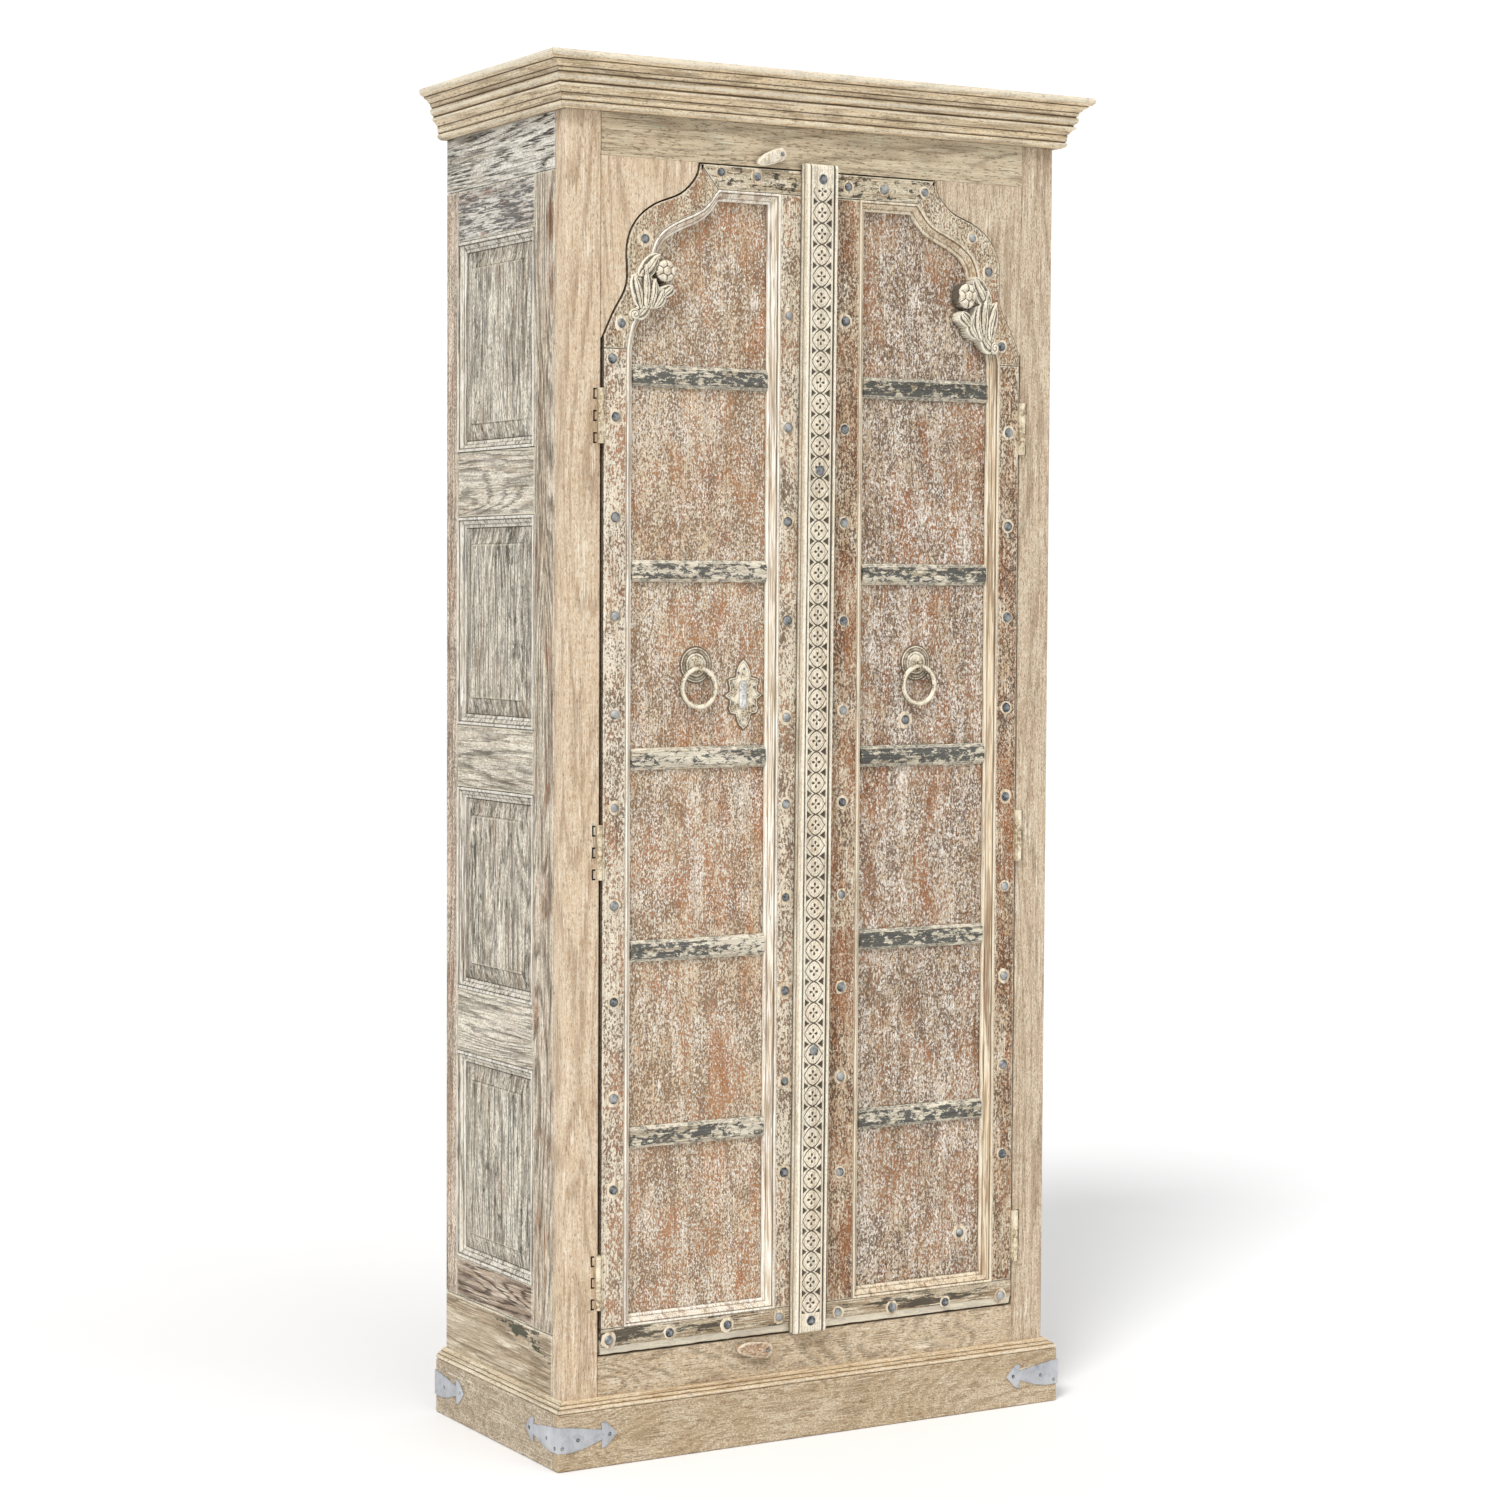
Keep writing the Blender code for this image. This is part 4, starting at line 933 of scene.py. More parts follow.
# Section of a door's bottom rail: distance behind the door's face, height, wear and painted shade, and how
# much of a dent goes into the height and into the depth.
BOTTOM_RAIL_SECTION = (
    (DOOR_DEPTH, DOOR_BOTTOM_Z, 0.1, 0.0, 0.0), (0.0066, DOOR_BOTTOM_Z, 0.4, 1.0, 0.6),
    (0.0050, DOOR_BOTTOM_Z + 0.0010, 1.5, 1.0, 0.6), (0.0018, 0.1720, 1.5, 1.0, 0.6),
    (0.0014, 0.1735, -0.4, 0.0, 0.6), (0.0, 0.1748, 0.6, 0.0, 0.0), (0.0, 0.1780, 0.0, 0.0, 0.0),
    (0.0, 0.1940, 0.0, 0.0, 0.0), (0.0, OPENING_BOTTOM_Z - 0.0020, 0.5, 0.0, 0.0),
    (0.0010, OPENING_BOTTOM_Z - SEAM, 0.9, 0.0, 0.0), (0.0030, OPENING_BOTTOM_Z - SEAM, -0.8, 0.0, 0.0),
    (DOOR_DEPTH, OPENING_BOTTOM_Z - SEAM, 0.1, 0.0, 0.0),
)
RAIL_STEPS = 60


def door_bottom_rail(side):
    """The bottom rail, with a sloped and dented lower edge."""
    sign = SIDES[side]
    start = MEETING_X[side] * sign
    rings = []
    for k in range(RAIL_STEPS + 1):
        x = sign * (start + (DOOR_EDGE_X - start) * k / RAIL_STEPS)
        ring = []
        for below, z, wear_and_shade, rise, sink in BOTTOM_RAIL_SECTION:
            dent = abs(wobble((x, z, 0), 0.03, 0.0014, 4.0))
            ring.append((x, DOOR_FACE_Y + below + dent * sink, z + dent * rise, wear_and_shade))
        rings.append(ring)
    piece(f"door_{side}_bottom_rail", skin(rings), "door_rail", f"door_{side}", (), 30)


# Inset from the opening's edge, depth below the face, and wear and painted shade.
DOOR_MOULDING_PROFILE = (
    (SEAM, 0.0060, -1.0), (SEAM, -0.0006, 0.6), (0.0020, -0.0012, 1.0), (0.0034, -0.0006, 0.7),
    (0.0040, 0.0012, -1.0), (0.0050, 0.0020, -0.5), (0.0066, 0.0034, 0.4), (0.0086, 0.0062, 0.2),
    (0.0104, 0.0094, 0.1), (0.0112, 0.0106, -0.9), (0.0120, 0.0108, 0.1), (0.0138, 0.0112, 0.9),
    (0.0150, 0.0124, 0.9), (MOULDING_WIDTH, 0.0150, 0.0), (MOULDING_WIDTH, 0.0164, -1.0),
    (SEAM, 0.0164, -1.0),
)
LONG_EDGE = 0.05
LONG_EDGE_STEPS = 24


def door_moulding(side):
    opening = opening_outline(side)
    rings = []
    for inset, below, wear_and_shade in DOOR_MOULDING_PROFILE:
        shape = offset_outline(opening, inset)
        ring = []
        for start, end in zip(shape, shape[1:] + shape[:1]):
            count = 1 if (start - end).length < LONG_EDGE else LONG_EDGE_STEPS
            for k in range(count):
                x, z = start.lerp(end, k / count)
                dip = abs(wobble((x, z, inset), 0.04, 0.0004, 3.0)) if below < 0.012 else 0.0
                ring.append((x, DOOR_FACE_Y + below + dip, z, wear_and_shade))
        rings.append(ring)
    look = "moulding" if side == "left" else "moulding_right"
    piece(f"door_{side}_moulding", skin(rings, closed=True), look, f"door_{side}", (), 35)


def door_panel(side):
    outline = offset_outline(opening_outline(side), REBATE_INSET + 0.0003)
    name = f"door_{side}_panel"
    bm = plank(outline, PANEL_Y, PANEL_BACK_Y, 0.0005, 0.014)
    piece(f"{name}_board", bm, f"panel_{side}", f"door_{side}", [name])
    for number, middle in enumerate(BATTENS_Z[side], 1):
        batten(side, number, middle)


# Section of a bar: distance in front of the panel, height from its middle, wear and painted shade.
BATTEN_HALF = (
    (-0.0005, -0.0165, -1.0), (0.0030, -0.0160, 0.9), (0.0052, -0.0142, 0.8), (0.0066, -0.0118, 0.9),
    (0.0084, -0.0104, 0.5), (0.0088, -0.0060, 0.0),
)
BATTEN_SECTION = (
    *BATTEN_HALF, (0.0088, 0.0, 0.0), *((out, -z, wear_and_shade) for out, z, wear_and_shade in reversed(BATTEN_HALF)),
)
BATTEN_STEPS = 60


def batten(side, number, middle):
    """A bar across the panel, with gouged edges."""
    sign = SIDES[side]
    start = OPENING_MEETING_X[side] + MOULDING_WIDTH + 0.0005
    end = OPENING_HINGE_X - MOULDING_WIDTH - 0.0005
    seed = number * 3.7 + sign
    rings = []
    for k in range(BATTEN_STEPS + 1):
        x = sign * (start + (end - start) * k / BATTEN_STEPS)
        ring = []
        for out, z, wear_and_shade in BATTEN_SECTION:
            if out > 0:
                out = max(out - abs(wobble((x, z, 0), 0.012, 0.0022, seed)), 0.0)
            sway = wobble((x, 0, z * 0.2), 0.03, 0.0010, seed + 9)
            ring.append((x, PANEL_Y - out, middle + z + sway, wear_and_shade))
        rings.append(ring)
    look = "batten" if side == "left" else "batten_right"
    piece(f"door_{side}_bar_{number}", skin(rings), look, f"door_{side}", (), 30)


# Carved sprig under the arch, for the right door; on each door it is dropped and stretched.
LEAF_FOOT_Z = 1.6860
LEAF_DROP = {"left": 0.0, "right": -0.026}
LEAF_STRETCH = {"left": 1.0, "right": 1.2}
LEAF_MIDDLE_X = 0.2860
LEAF_SIZE = (0.094, 0.106)
LEAF_STEP = 0.0009
# Blades of the leaf: foot x and z, tip x and z, half width, height.
LEAF_BLADES = (
    (0.3225, 1.6880, 0.2930, 1.7080, 0.0064, 0.0070), (0.3120, 1.6990, 0.3215, 1.7500, 0.0066, 0.0082),
    (0.3040, 1.6985, 0.3040, 1.7640, 0.0068, 0.0104), (0.2960, 1.6990, 0.2880, 1.7440, 0.0062, 0.0096),
    (0.2880, 1.7010, 0.2740, 1.7290, 0.0056, 0.0086), (0.3150, 1.7460, 0.2800, 1.7790, 0.0070, 0.0094),
    (0.2600, 1.7360, 0.2740, 1.7160, 0.0056, 0.0080),
)
# Middle x and z, radius and height of the flower and of the rolled-up tip.
LEAF_BLOOM = (0.2700, 1.7560, 0.0165, 0.0118)
BLOOM_PETALS = 6
LEAF_CURL = (0.3220, 1.6905, 0.0085, 0.0074)
LEAF_BED_RISE = 0.0034
LEAF_BED_SPREAD = 1.9
LEAF_MIDDLE_RISE = 0.043
# Where the carving's rim leaves the band for the panel, and how wide that slope is.
LEAF_SLOPE_X = 0.3060
LEAF_SLOPE_WIDTH = 0.010
# Distance over which the carving's curvature is taken, and how strongly it turns into wear on bulges and into
# dirt and painted shade in hollows.
LEAF_BEND = 0.0014
LEAF_WEAR_AND_SHADE_GAIN = 2600


def blade_height(x, z, blade, spread=1.0):
    """Height of one pointed blade with a vein down its middle."""
    foot_x, foot_z, tip_x, tip_z, half, rise = blade
    along_x, along_z = tip_x - foot_x, tip_z - foot_z
    length = math.hypot(along_x, along_z)
    share = ((x - foot_x) * along_x + (z - foot_z) * along_z) / length**2
    if not 0 < share < 1:
        return 0.0
    across = ((x - foot_x) * along_z - (z - foot_z) * along_x) / length
    across += 0.0016 * math.sin(5.0 * share + 40 * foot_x)
    width = half * spread * math.sin(math.pi * share**0.85) ** 0.6
    if abs(across) >= width:
        return 0.0
    vein = 0.0016 * math.exp(-((across / 0.0010) ** 2)) * math.sin(math.pi * share)
    return rise * (1 - (across / width) ** 2) ** 0.5 * (0.7 + 0.3 * share) - vein


def bloom_height(x, z, middle_x, middle_z, radius, rise):
    """Height of the round flower: a boss with petals around it."""
    share = math.hypot(x - middle_x, z - middle_z) / radius
    if share >= 1.0:
        return 0.0
    if share < 0.36:
        return rise * (0.62 + 0.38 * (1 - (share / 0.36) ** 2) ** 0.5)
    angle = math.atan2(z - middle_z, x - middle_x)
    petal = abs(math.cos(BLOOM_PETALS / 2 * angle)) ** 0.5
    ring = max(0.0, 1 - ((share - 0.68) / 0.33) ** 2) ** 0.5
    return rise * (0.30 + 0.58 * petal * ring) * (1 - share**10)


def curl_height(x, z, middle_x, middle_z, radius, rise):
    """Height of the rolled-up tip: a round boss with a spiral groove."""
    share = math.hypot(x - middle_x, z - middle_z) / radius
    if share >= 1.0:
        return 0.0
    angle = math.atan2(z - middle_z, x - middle_x) / math.tau
    turns = (share * 1.9 + angle) % 1.0
    groove = 0.0030 * math.exp(-(((turns - 0.5) / 0.14) ** 2)) * min(1.0, share * 3)
    return rise * (1 - share**4) ** 0.5 - groove


def leaf_height(x, z):
    """Height of the whole carving: blades, bloom and curl on a low bed."""
    bed = max(blade_height(x, z, blade, LEAF_BED_SPREAD) for blade in LEAF_BLADES)
    heights = [min(bed, LEAF_BED_RISE), bloom_height(x, z, *LEAF_BLOOM), curl_height(x, z, *LEAF_CURL)]
    heights += [blade_height(x, z, blade) for blade in LEAF_BLADES]
    return max(0.0, max(heights)) * (0.90 + 0.25 * noise.noise((x * 90, z * 90, 0.0)))


def relief(width, height, step, surface, place, wear_and_shade_of):
    """A grid over a rectangle, raised by surface(u, v), with the cells at or below zero left out."""
    columns = round(width / step)
    rows = round(height / step)
    bm = bmesh.new()
    layer = wear_and_shade_layer(bm)
    grid = []
    for row in range(rows + 1):
        line = []
        for column in range(columns + 1):
            u = width * (column / columns - 0.5)
            v = height * (row / rows - 0.5)
            out = surface(u, v)
            vert = bm.verts.new(place(u, v, out))
            vert[layer] = wear_and_shade_of(u, v, out)
            line.append((vert, out))
        grid.append(line)
    for first, second in zip(grid, grid[1:]):
        for cell in zip(first, first[1:], second[1:], second):
            if max(out for _, out in cell) > 0:
                bm.faces.new([vert for vert, _ in cell])
    loose = [vert for vert in bm.verts if not vert.link_faces]
    bmesh.ops.delete(bm, geom=loose, context="VERTS")
    return bm


def leaf_carving(side):
    """The carved sprig, in relief on the arched band and standing off the panel's corner."""
    sign = SIDES[side]
    stretch = LEAF_STRETCH[side]
    foot = LEAF_FOOT_Z + LEAF_DROP[side]
    middle = foot + LEAF_MIDDLE_RISE * stretch
    bend = LEAF_BEND

    def surface(u, v):
        return leaf_height(LEAF_MIDDLE_X + u, LEAF_FOOT_Z + (middle + v - foot) / stretch)

    def place(u, v, out):
        x = LEAF_MIDDLE_X + u
        y = DOOR_FACE_Y + 0.0004 - out
        if out <= 0:
            slope = (LEAF_SLOPE_X - x) / LEAF_SLOPE_WIDTH
            y += (PANEL_Y - DOOR_FACE_Y) * max(0.0, min(1.0, slope))
        return (sign * x, y, middle + v)

    def wear_and_shade_of(u, v, out):
        near = [surface(u + du, v + dv) for du, dv in ((bend, 0), (-bend, 0), (0, bend), (0, -bend))]
        bulge = (out - sum(near) / 4) * LEAF_WEAR_AND_SHADE_GAIN
        # Hollows and the low bed take values below 0: dirt and painted shade in the carving's cuts.
        if bulge < 0 or out < LEAF_BED_RISE * 1.15:
            return max(-1.0, bulge * 3.0 - 0.55)
        return min(1.0, bulge)

    bm = relief(LEAF_SIZE[0], LEAF_SIZE[1] * stretch, LEAF_STEP, surface, place, wear_and_shade_of)
    piece(f"door_{side}_leaf_carving", bm, "carving", f"door_{side}", (), 60)


# ---- Carved strip --------------------------------------------------------------------------

STRIP_LOW, STRIP_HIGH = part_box("astragal")
STRIP_LENGTH = STRIP_HIGH.z - STRIP_LOW.z
STRIP_HALF = 0.028
STRIP_HEAD_X = STRIP_HIGH.x - STRIP_HALF
STRIP_FOOT_X = STRIP_LOW.x + STRIP_HALF
STRIP_COLUMNS = 40
STRIP_ROWS = 2000
STRIP_PLAIN_ENDS = (0.03, 0.035)
FLOWER_PITCH = 0.0317
FIELD_HALF = 0.0158
FIELD_OUT = 0.0172
# Triangular chips at the edges of the carved field: where they come to a point, half height, depth.
CHIP_POINT_U = 0.0062
CHIP_HALF_HEIGHT = 0.0062
CHIP_DEPTH = 0.0028
# Side mouldings of the strip: distance from its middle, distance in front of the door, wear and painted shade.
STRIP_EDGE = (
    (0.0280, 0.0000, -1.0), (0.0280, 0.0050, -0.3), (0.0272, 0.0078, 0.4), (0.0278, 0.0092, -0.8),
    (0.0278, 0.0140, 0.1), (0.0272, 0.0176, 0.6), (0.0262, 0.0192, 1.0), (0.0246, 0.0198, 1.0),
    (0.0232, 0.0196, 0.7), (0.0222, 0.0182, -0.6), (0.0212, 0.0164, -1.0), (0.0202, 0.0164, -1.0),
    (0.0194, 0.0178, 0.4), (0.0186, 0.0186, 1.0), (0.0174, 0.0186, 0.9), (0.0166, 0.0176, -0.6),
)


def strip_middle(z):
    """The strip leans a little, from its foot to its head."""
    return STRIP_FOOT_X + (STRIP_HEAD_X - STRIP_FOOT_X) * (z - STRIP_LOW.z) / STRIP_LENGTH


def lattice(u, z):
    """Chip carving: diamonds between rounded grooves, each with a four-petalled flower."""
    half = FLOWER_PITCH / 2
    v = (z % FLOWER_PITCH) - half
    bulge = 0.0024 * math.sin(math.pi * min(1.0, abs(u) / half))
    to_line = (half - abs(u) - abs(v)) / math.sqrt(2) + bulge
    height = -0.0015 * math.exp(-((to_line / 0.0010) ** 2))
    height -= 0.0007 * math.exp(-(((to_line - 0.0032) / 0.0006) ** 2))
    petal = max(0.0, math.cos(4 * math.atan2(v, u))) ** 0.5
    height -= 0.0026 * petal * math.exp(-(((math.hypot(u, v) - 0.0046) / 0.0027) ** 2))
    open_by = max(0.0, abs(u) - CHIP_POINT_U) / (FIELD_HALF - CHIP_POINT_U)
    height -= CHIP_DEPTH * max(0.0, min(1.0, 2.2 * (open_by - (half - abs(v)) / CHIP_HALF_HEIGHT)))
    return max(height, -0.0026)


def strip_ring(section, z):
    above_foot = z - STRIP_LOW.z
    rounding = min(1.0, min(STRIP_HIGH.z - z, above_foot) / 0.006)
    taper = 0.82 + 0.18 * math.sqrt(max(0.0, 1 - (1 - rounding) ** 2))
    carved = STRIP_PLAIN_ENDS[0] < above_foot < STRIP_LENGTH - STRIP_PLAIN_ENDS[1]
    ring = []
    for x, out, wear_and_shade in section:
        if out is None:
            cut = lattice(x, z) if carved else 0.0
            out = FIELD_OUT + cut
            # Deeper cuts get lower values, darkened as dirt and painted shade.
            wear_and_shade = max(-1.0, min(0.4, 0.35 + cut * 1100))
        sag = 0.5 * abs(wobble((x, z, 0), 0.05, 0.0006, 2.0))
        ring.append((strip_middle(z) + x, DOOR_FACE_Y - 0.0003 - max(out - sag, 0.0) * taper, z, wear_and_shade))
    return ring


def carved_strip():
    """The strip on the left door's meeting edge: moulded sides and a carved field."""
    section = [(-x, out, wear_and_shade) for x, out, wear_and_shade in STRIP_EDGE]
    section += [(FIELD_HALF * (2 * k / STRIP_COLUMNS - 1), None, 0.0) for k in range(STRIP_COLUMNS + 1)]
    section += reversed(STRIP_EDGE)
    levels = [STRIP_LOW.z + STRIP_LENGTH * row / STRIP_ROWS for row in range(STRIP_ROWS + 1)]
    bm = skin([strip_ring(section, z) for z in levels])
    piece("carved_strip", bm, "carving", "door_left", ["astragal"], 50)


# ---- Studs ---------------------------------------------------------------------------------

STUD_R = 0.0074
STUD_HEIGHT = 0.0048
HALO_R = 0.0108
HALO_SIDES = 20
STUDS = {
    "left": [
        *[(-0.3525, z) for z in (1.541, 1.395, 1.251, 1.107, 0.970, 0.826, 0.684, 0.541, 0.406)],
        *[(-0.0550, z) for z in (1.700, 1.533, 1.392, 1.244, 1.098, 0.967, 0.826, 0.684, 0.546, 0.407)],
        (-0.175, 1.906), (-0.112, 1.903), (-0.304, 1.801), (-0.343, 1.677), (-0.358, 1.625),
        (-0.359, 0.183), (-0.255, 0.183), (-0.154, 0.184), (-0.062, 0.186),
    ],
    "right": [
        *[(0.0465, z) for z in (1.696, 1.533, 1.392, 1.243, 1.107, 0.967, 0.826, 0.684, 0.546, 0.399)],
        *[(0.3525, z) for z in (1.536, 1.390, 1.248, 1.107, 0.967, 0.826, 0.684, 0.544, 0.402)],
        (0.050, 1.898), (0.115, 1.898), (0.190, 1.898), (0.280, 1.834), (0.311, 1.783), (0.337, 1.669),
        (0.045, 0.182), (0.145, 0.179), (0.245, 0.177), (0.352, 0.176),
    ],
}
STRIP_STUDS_Z = (1.904, 1.469, 0.5925, 0.1790)
STRIP_STUD_HEIGHT = 0.0026
PANEL_STUDS = {"left": (), "right": ((0.173, 1.090), (0.284, 0.280))}
STUD_SEEDS = {"left": 17, "right": 23}


def halo(bm, place, u, v, radius, seed):
    """A thin uneven disc of filler round a stud."""
    rings = []
    for share, out in ((1.0, 0.0), (0.93, 0.00025), (0.5, 0.00040)):
        ring = []
        for across, up in round_steps(HALO_SIDES):
            reach = radius * share * (1 + 0.22 * noise.noise((seed, 2 * across, 2 * up)))
            ring.append((*place(u + reach * across, v + reach * up, out), 0.7))
        rings.append(ring)
    bm.faces.new(add_loops(bm, rings)[-1])


def strip_place(u, v, out):
    return (u, DOOR_FACE_Y - FIELD_OUT - out, v)


def studs(side):
    random.seed(STUD_SEEDS[side])
    heads = bmesh.new()
    halos = bmesh.new()
    for number, (x, z) in enumerate(STUDS[side]):
        size = random.uniform(0.88, 1.08)
        dome(heads, front_place, x, z, STUD_R * size, STUD_HEIGHT * size, number * 1.3)
        halo(halos, front_place, x, z, HALO_R * random.uniform(0.85, 1.15), number * 2.1)
    for number, (x, z) in enumerate(PANEL_STUDS[side]):
        dome(heads, panel_place, x, z, STUD_R, STUD_HEIGHT, number * 1.3)
        halo(halos, panel_place, x, z, HALO_R * 1.2, number * 2.1)
    if side == "left":
        for number, z in enumerate(STRIP_STUDS_Z):
            x = strip_middle(z) + 0.001
            dome(heads, strip_place, x, z, STUD_R * 1.05, STRIP_STUD_HEIGHT, number * 1.9)
    piece(f"studs_{side}", heads, "stud", f"door_{side}", (), 60)
    piece(f"stud_fillers_{side}", halos, "moulding_right", f"door_{side}", (), 50)


# ---- Pulls, lock plate and turn buttons ----------------------------------------------------

# Rosette: share of its radius, distance in front of the panel, depth of its scallops, wear and painted shade.
ROSETTE_PROFILE = (
    (1.09, 0.0002, 0.0000, -1.2), (1.08, 0.0008, 0.0000, -1.2), (1.00, 0.0010, 0.0000, -1.0),
    (0.99, 0.0014, 0.0000, 0.6), (0.95, 0.0018, 0.0000, 0.8), (0.91, 0.0012, 0.0000, -1.0),
    (0.87, 0.0014, 0.0010, -0.7), (0.80, 0.0018, 0.0014, -0.4), (0.73, 0.0014, 0.0010, -0.7),
    (0.69, 0.0012, 0.0000, -1.0), (0.64, 0.0020, 0.0000, 0.8), (0.58, 0.0022, 0.0000, 0.8),
    (0.54, 0.0016, 0.0000, -0.8), (0.46, 0.0022, 0.0004, 0.2), (0.34, 0.0032, 0.0004, 0.6),
    (0.20, 0.0036, 0.0000, 0.6), (0.05, 0.0038, 0.0000, 0.4),
)
ROSETTE_SIDES = 72
ROSETTE_SCALLOPS = 24


def rosette(side):
    """A round plate on the panel, with rings and scallops."""
    low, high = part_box(f"rosette_{side}")
    centre = (low + high) / 2
    radius = (high.x - low.x) / 2
    rings = []
    for share, out, scallop, wear_and_shade in ROSETTE_PROFILE:
        ring = []
        for k, (across, up) in enumerate(round_steps(ROSETTE_SIDES)):
            wave = 0.5 + 0.5 * math.cos(ROSETTE_SCALLOPS * math.tau * k / ROSETTE_SIDES)
            reach = radius * share * (1 + 0.012 * noise.noise((7 * across, 7 * up, share)))
            y = PANEL_Y - out - scallop * wave
            ring.append((centre.x + reach * across, y, centre.z + reach * up, wear_and_shade))
        rings.append(ring)
    nodes = [f"rosette_{side}"]
    piece(f"rosette_plate_{side}", skin(rings), "iron", f"door_{side}", nodes, 50)


def wire_ring(major, minor, sides, section, uneven, point_at):
    """A ring of uneven round wire; point_at(across, up, beside) gives its points and their wear."""
    rings = []
    for across, up in round_steps(sides):
        ring = []
        for j, (outward, beside) in enumerate(round_steps(section)):
            around = math.tau * j / section
            thick = minor * (1 + uneven * noise.noise((5 * across, 5 * up, around)))
            reach = major + thick * outward
            ring.append(point_at(reach * across, reach * up, thick * beside))
        rings.append(ring)
    return skin(rings, closed=True)


EYE_SIZE = (0.0070, 0.0021)


def ring_pull(side):
    """The ring, worn at the front and darker behind, where it faces the door, and the staple eye that it hangs
    from.
    """
    low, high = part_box(f"ring_{side}")
    centre = (low + high) / 2
    tube = (high.y - low.y) / 2
    major = (high.x - low.x) / 2 - tube
    hang_z = centre.z + major

    # The value runs from 1 at the wire's front to -3 at its back, so the back turns dark.
    def in_front(across, up, beside):
        return (centre.x + across, centre.y + beside, centre.z + up, -2.0 * beside / tube - 1.0)

    def upright(across, up, beside):
        return (centre.x + beside, centre.y + across, hang_z + up, 0.0)

    ring = wire_ring(major - 0.0001, tube, 72, 14, 0.07, in_front)
    piece(f"ring_pull_{side}", ring, "iron", f"ring_{side}", [f"ring_{side}"], 60)
    rosette(side)
    eye = wire_ring(*EYE_SIZE, 28, 10, 0.06, upright)
    piece(f"staple_eye_{side}", eye, "iron", f"door_{side}", (), 60)


LOCK_FOOT = 0.0510
# Right half of the lock plate's outline, from its middle.
LOCK_HALF = (
    (0.0000, 0.0540), (0.0052, 0.0492), (0.0094, 0.0430), (0.0122, 0.0355), (0.0132, 0.0275),
    (0.0235, 0.0257), (0.0268, 0.0236), (0.0262, 0.0190), (0.0240, 0.0120), (0.0246, 0.0056),
    (0.0285, 0.0030), (0.0325, 0.0000), (0.0285, -0.0030), (0.0246, -0.0056), (0.0240, -0.0120),
    (0.0262, -0.0190), (0.0230, -0.0262), (0.0130, -0.0280), (0.0118, -0.0350), (0.0078, -0.0440),
    (0.0000, -LOCK_FOOT),
)
LOCK_NAILS = (
    (-0.0095, 0.034), (0.001, 0.040), (0.019, 0.012), (0.018, -0.016), (-0.019, -0.012), (-0.001, -0.036),
    (-0.018, 0.016),
)
LOCK_NAIL_SIZE = (0.0019, 0.0009)
KEYHOLE_HALF = (0.0062, 0.0205)
KEYHOLE_SQUARENESS = 0.35


def lock_plate():
    """A pointed plate with a low raised border and a painted shade line round its side, nails, and a keyhole
    slot plugged with pale filler.
    """
    low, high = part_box("lock_plate")
    middle_x, middle_z = (low.x + high.x) / 2, low.z + LOCK_FOOT
    front, back = low.y, high.y
    outline = [(middle_x + x, middle_z + z) for x, z in LOCK_HALF]
    outline += [(middle_x - x, middle_z + z) for x, z in reversed(LOCK_HALF[1:-1])]
    # The side wall is set to -1.2 and darkens as painted shade round the outline; the groove inside the border
    # darkens too.
    plate_stages = (
        (back, -0.0018, -1.2), (back - 0.0006, -0.0016, -1.2), (front + 0.0008, 0.0002, -1.2),
        (front, 0.0010, 1.0), (front, 0.0020, 0.6), (front + 0.0006, 0.0026, -1.0),
        (front + 0.0004, 0.0036, 0.0),
    )
    plate = stacked(outline, plate_stages)
    piece("lock_plate_relief", plate, "iron", "door_left", ["lock_plate"], 40)
    slot = []
    for across, up in round_steps(24):
        x = math.copysign(abs(across) ** KEYHOLE_SQUARENESS, across) * KEYHOLE_HALF[0]
        z = math.copysign(abs(up) ** KEYHOLE_SQUARENESS, up) * KEYHOLE_HALF[1]
        slot.append((middle_x - 0.001 + x, middle_z + 0.001 + z))
    plug_stages = (
        (front + 0.0004, -0.0011, -1.0), (front - 0.0001, -0.0008, -1.0), (front + 0.0003, 0.0, -1.0),
        (front - 0.0006, 0.0008, 0.3), (front - 0.0009, 0.0030, 0.6),
    )
    piece("keyhole_plug", stacked(slot, plug_stages), "plug", "door_left", (), 50)

    def place(u, v, out):
        return (middle_x + u, front - out, middle_z + v)

    nails = bmesh.new()
    for number, (x, z) in enumerate(LOCK_NAILS):
        dome(nails, place, x, z, *LOCK_NAIL_SIZE, number, 10, 3)
    piece("lock_nails", nails, "stud", "door_left", (), 60)


BUTTON_BACK_Y = -0.177
BUTTON_BOSS_R = 0.0068
SCREW_SIZE = (0.0034, 0.0010)
# Wood, angle in degrees, length ahead of the pivot and width.
BUTTONS = {"latch_top": ("carving", -20.0, 0.044, 0.020), "latch_bottom": ("button", 8.0, 0.054, 0.024)}
# Outline of a button: share of its length ahead of the pivot, or of its half width behind it, and share of
# its half width across.
BUTTON_LEAF = (
    (-0.92, 0.38), (-0.60, 0.80), (0.0, 1.0), (0.25, 1.0), (0.55, 0.92), (0.80, 0.66), (0.96, 0.30),
    (1.0, -0.10), (0.92, -0.52), (0.70, -0.84), (0.40, -0.98), (0.0, -1.0), (-0.60, -0.80), (-0.92, -0.38),
)


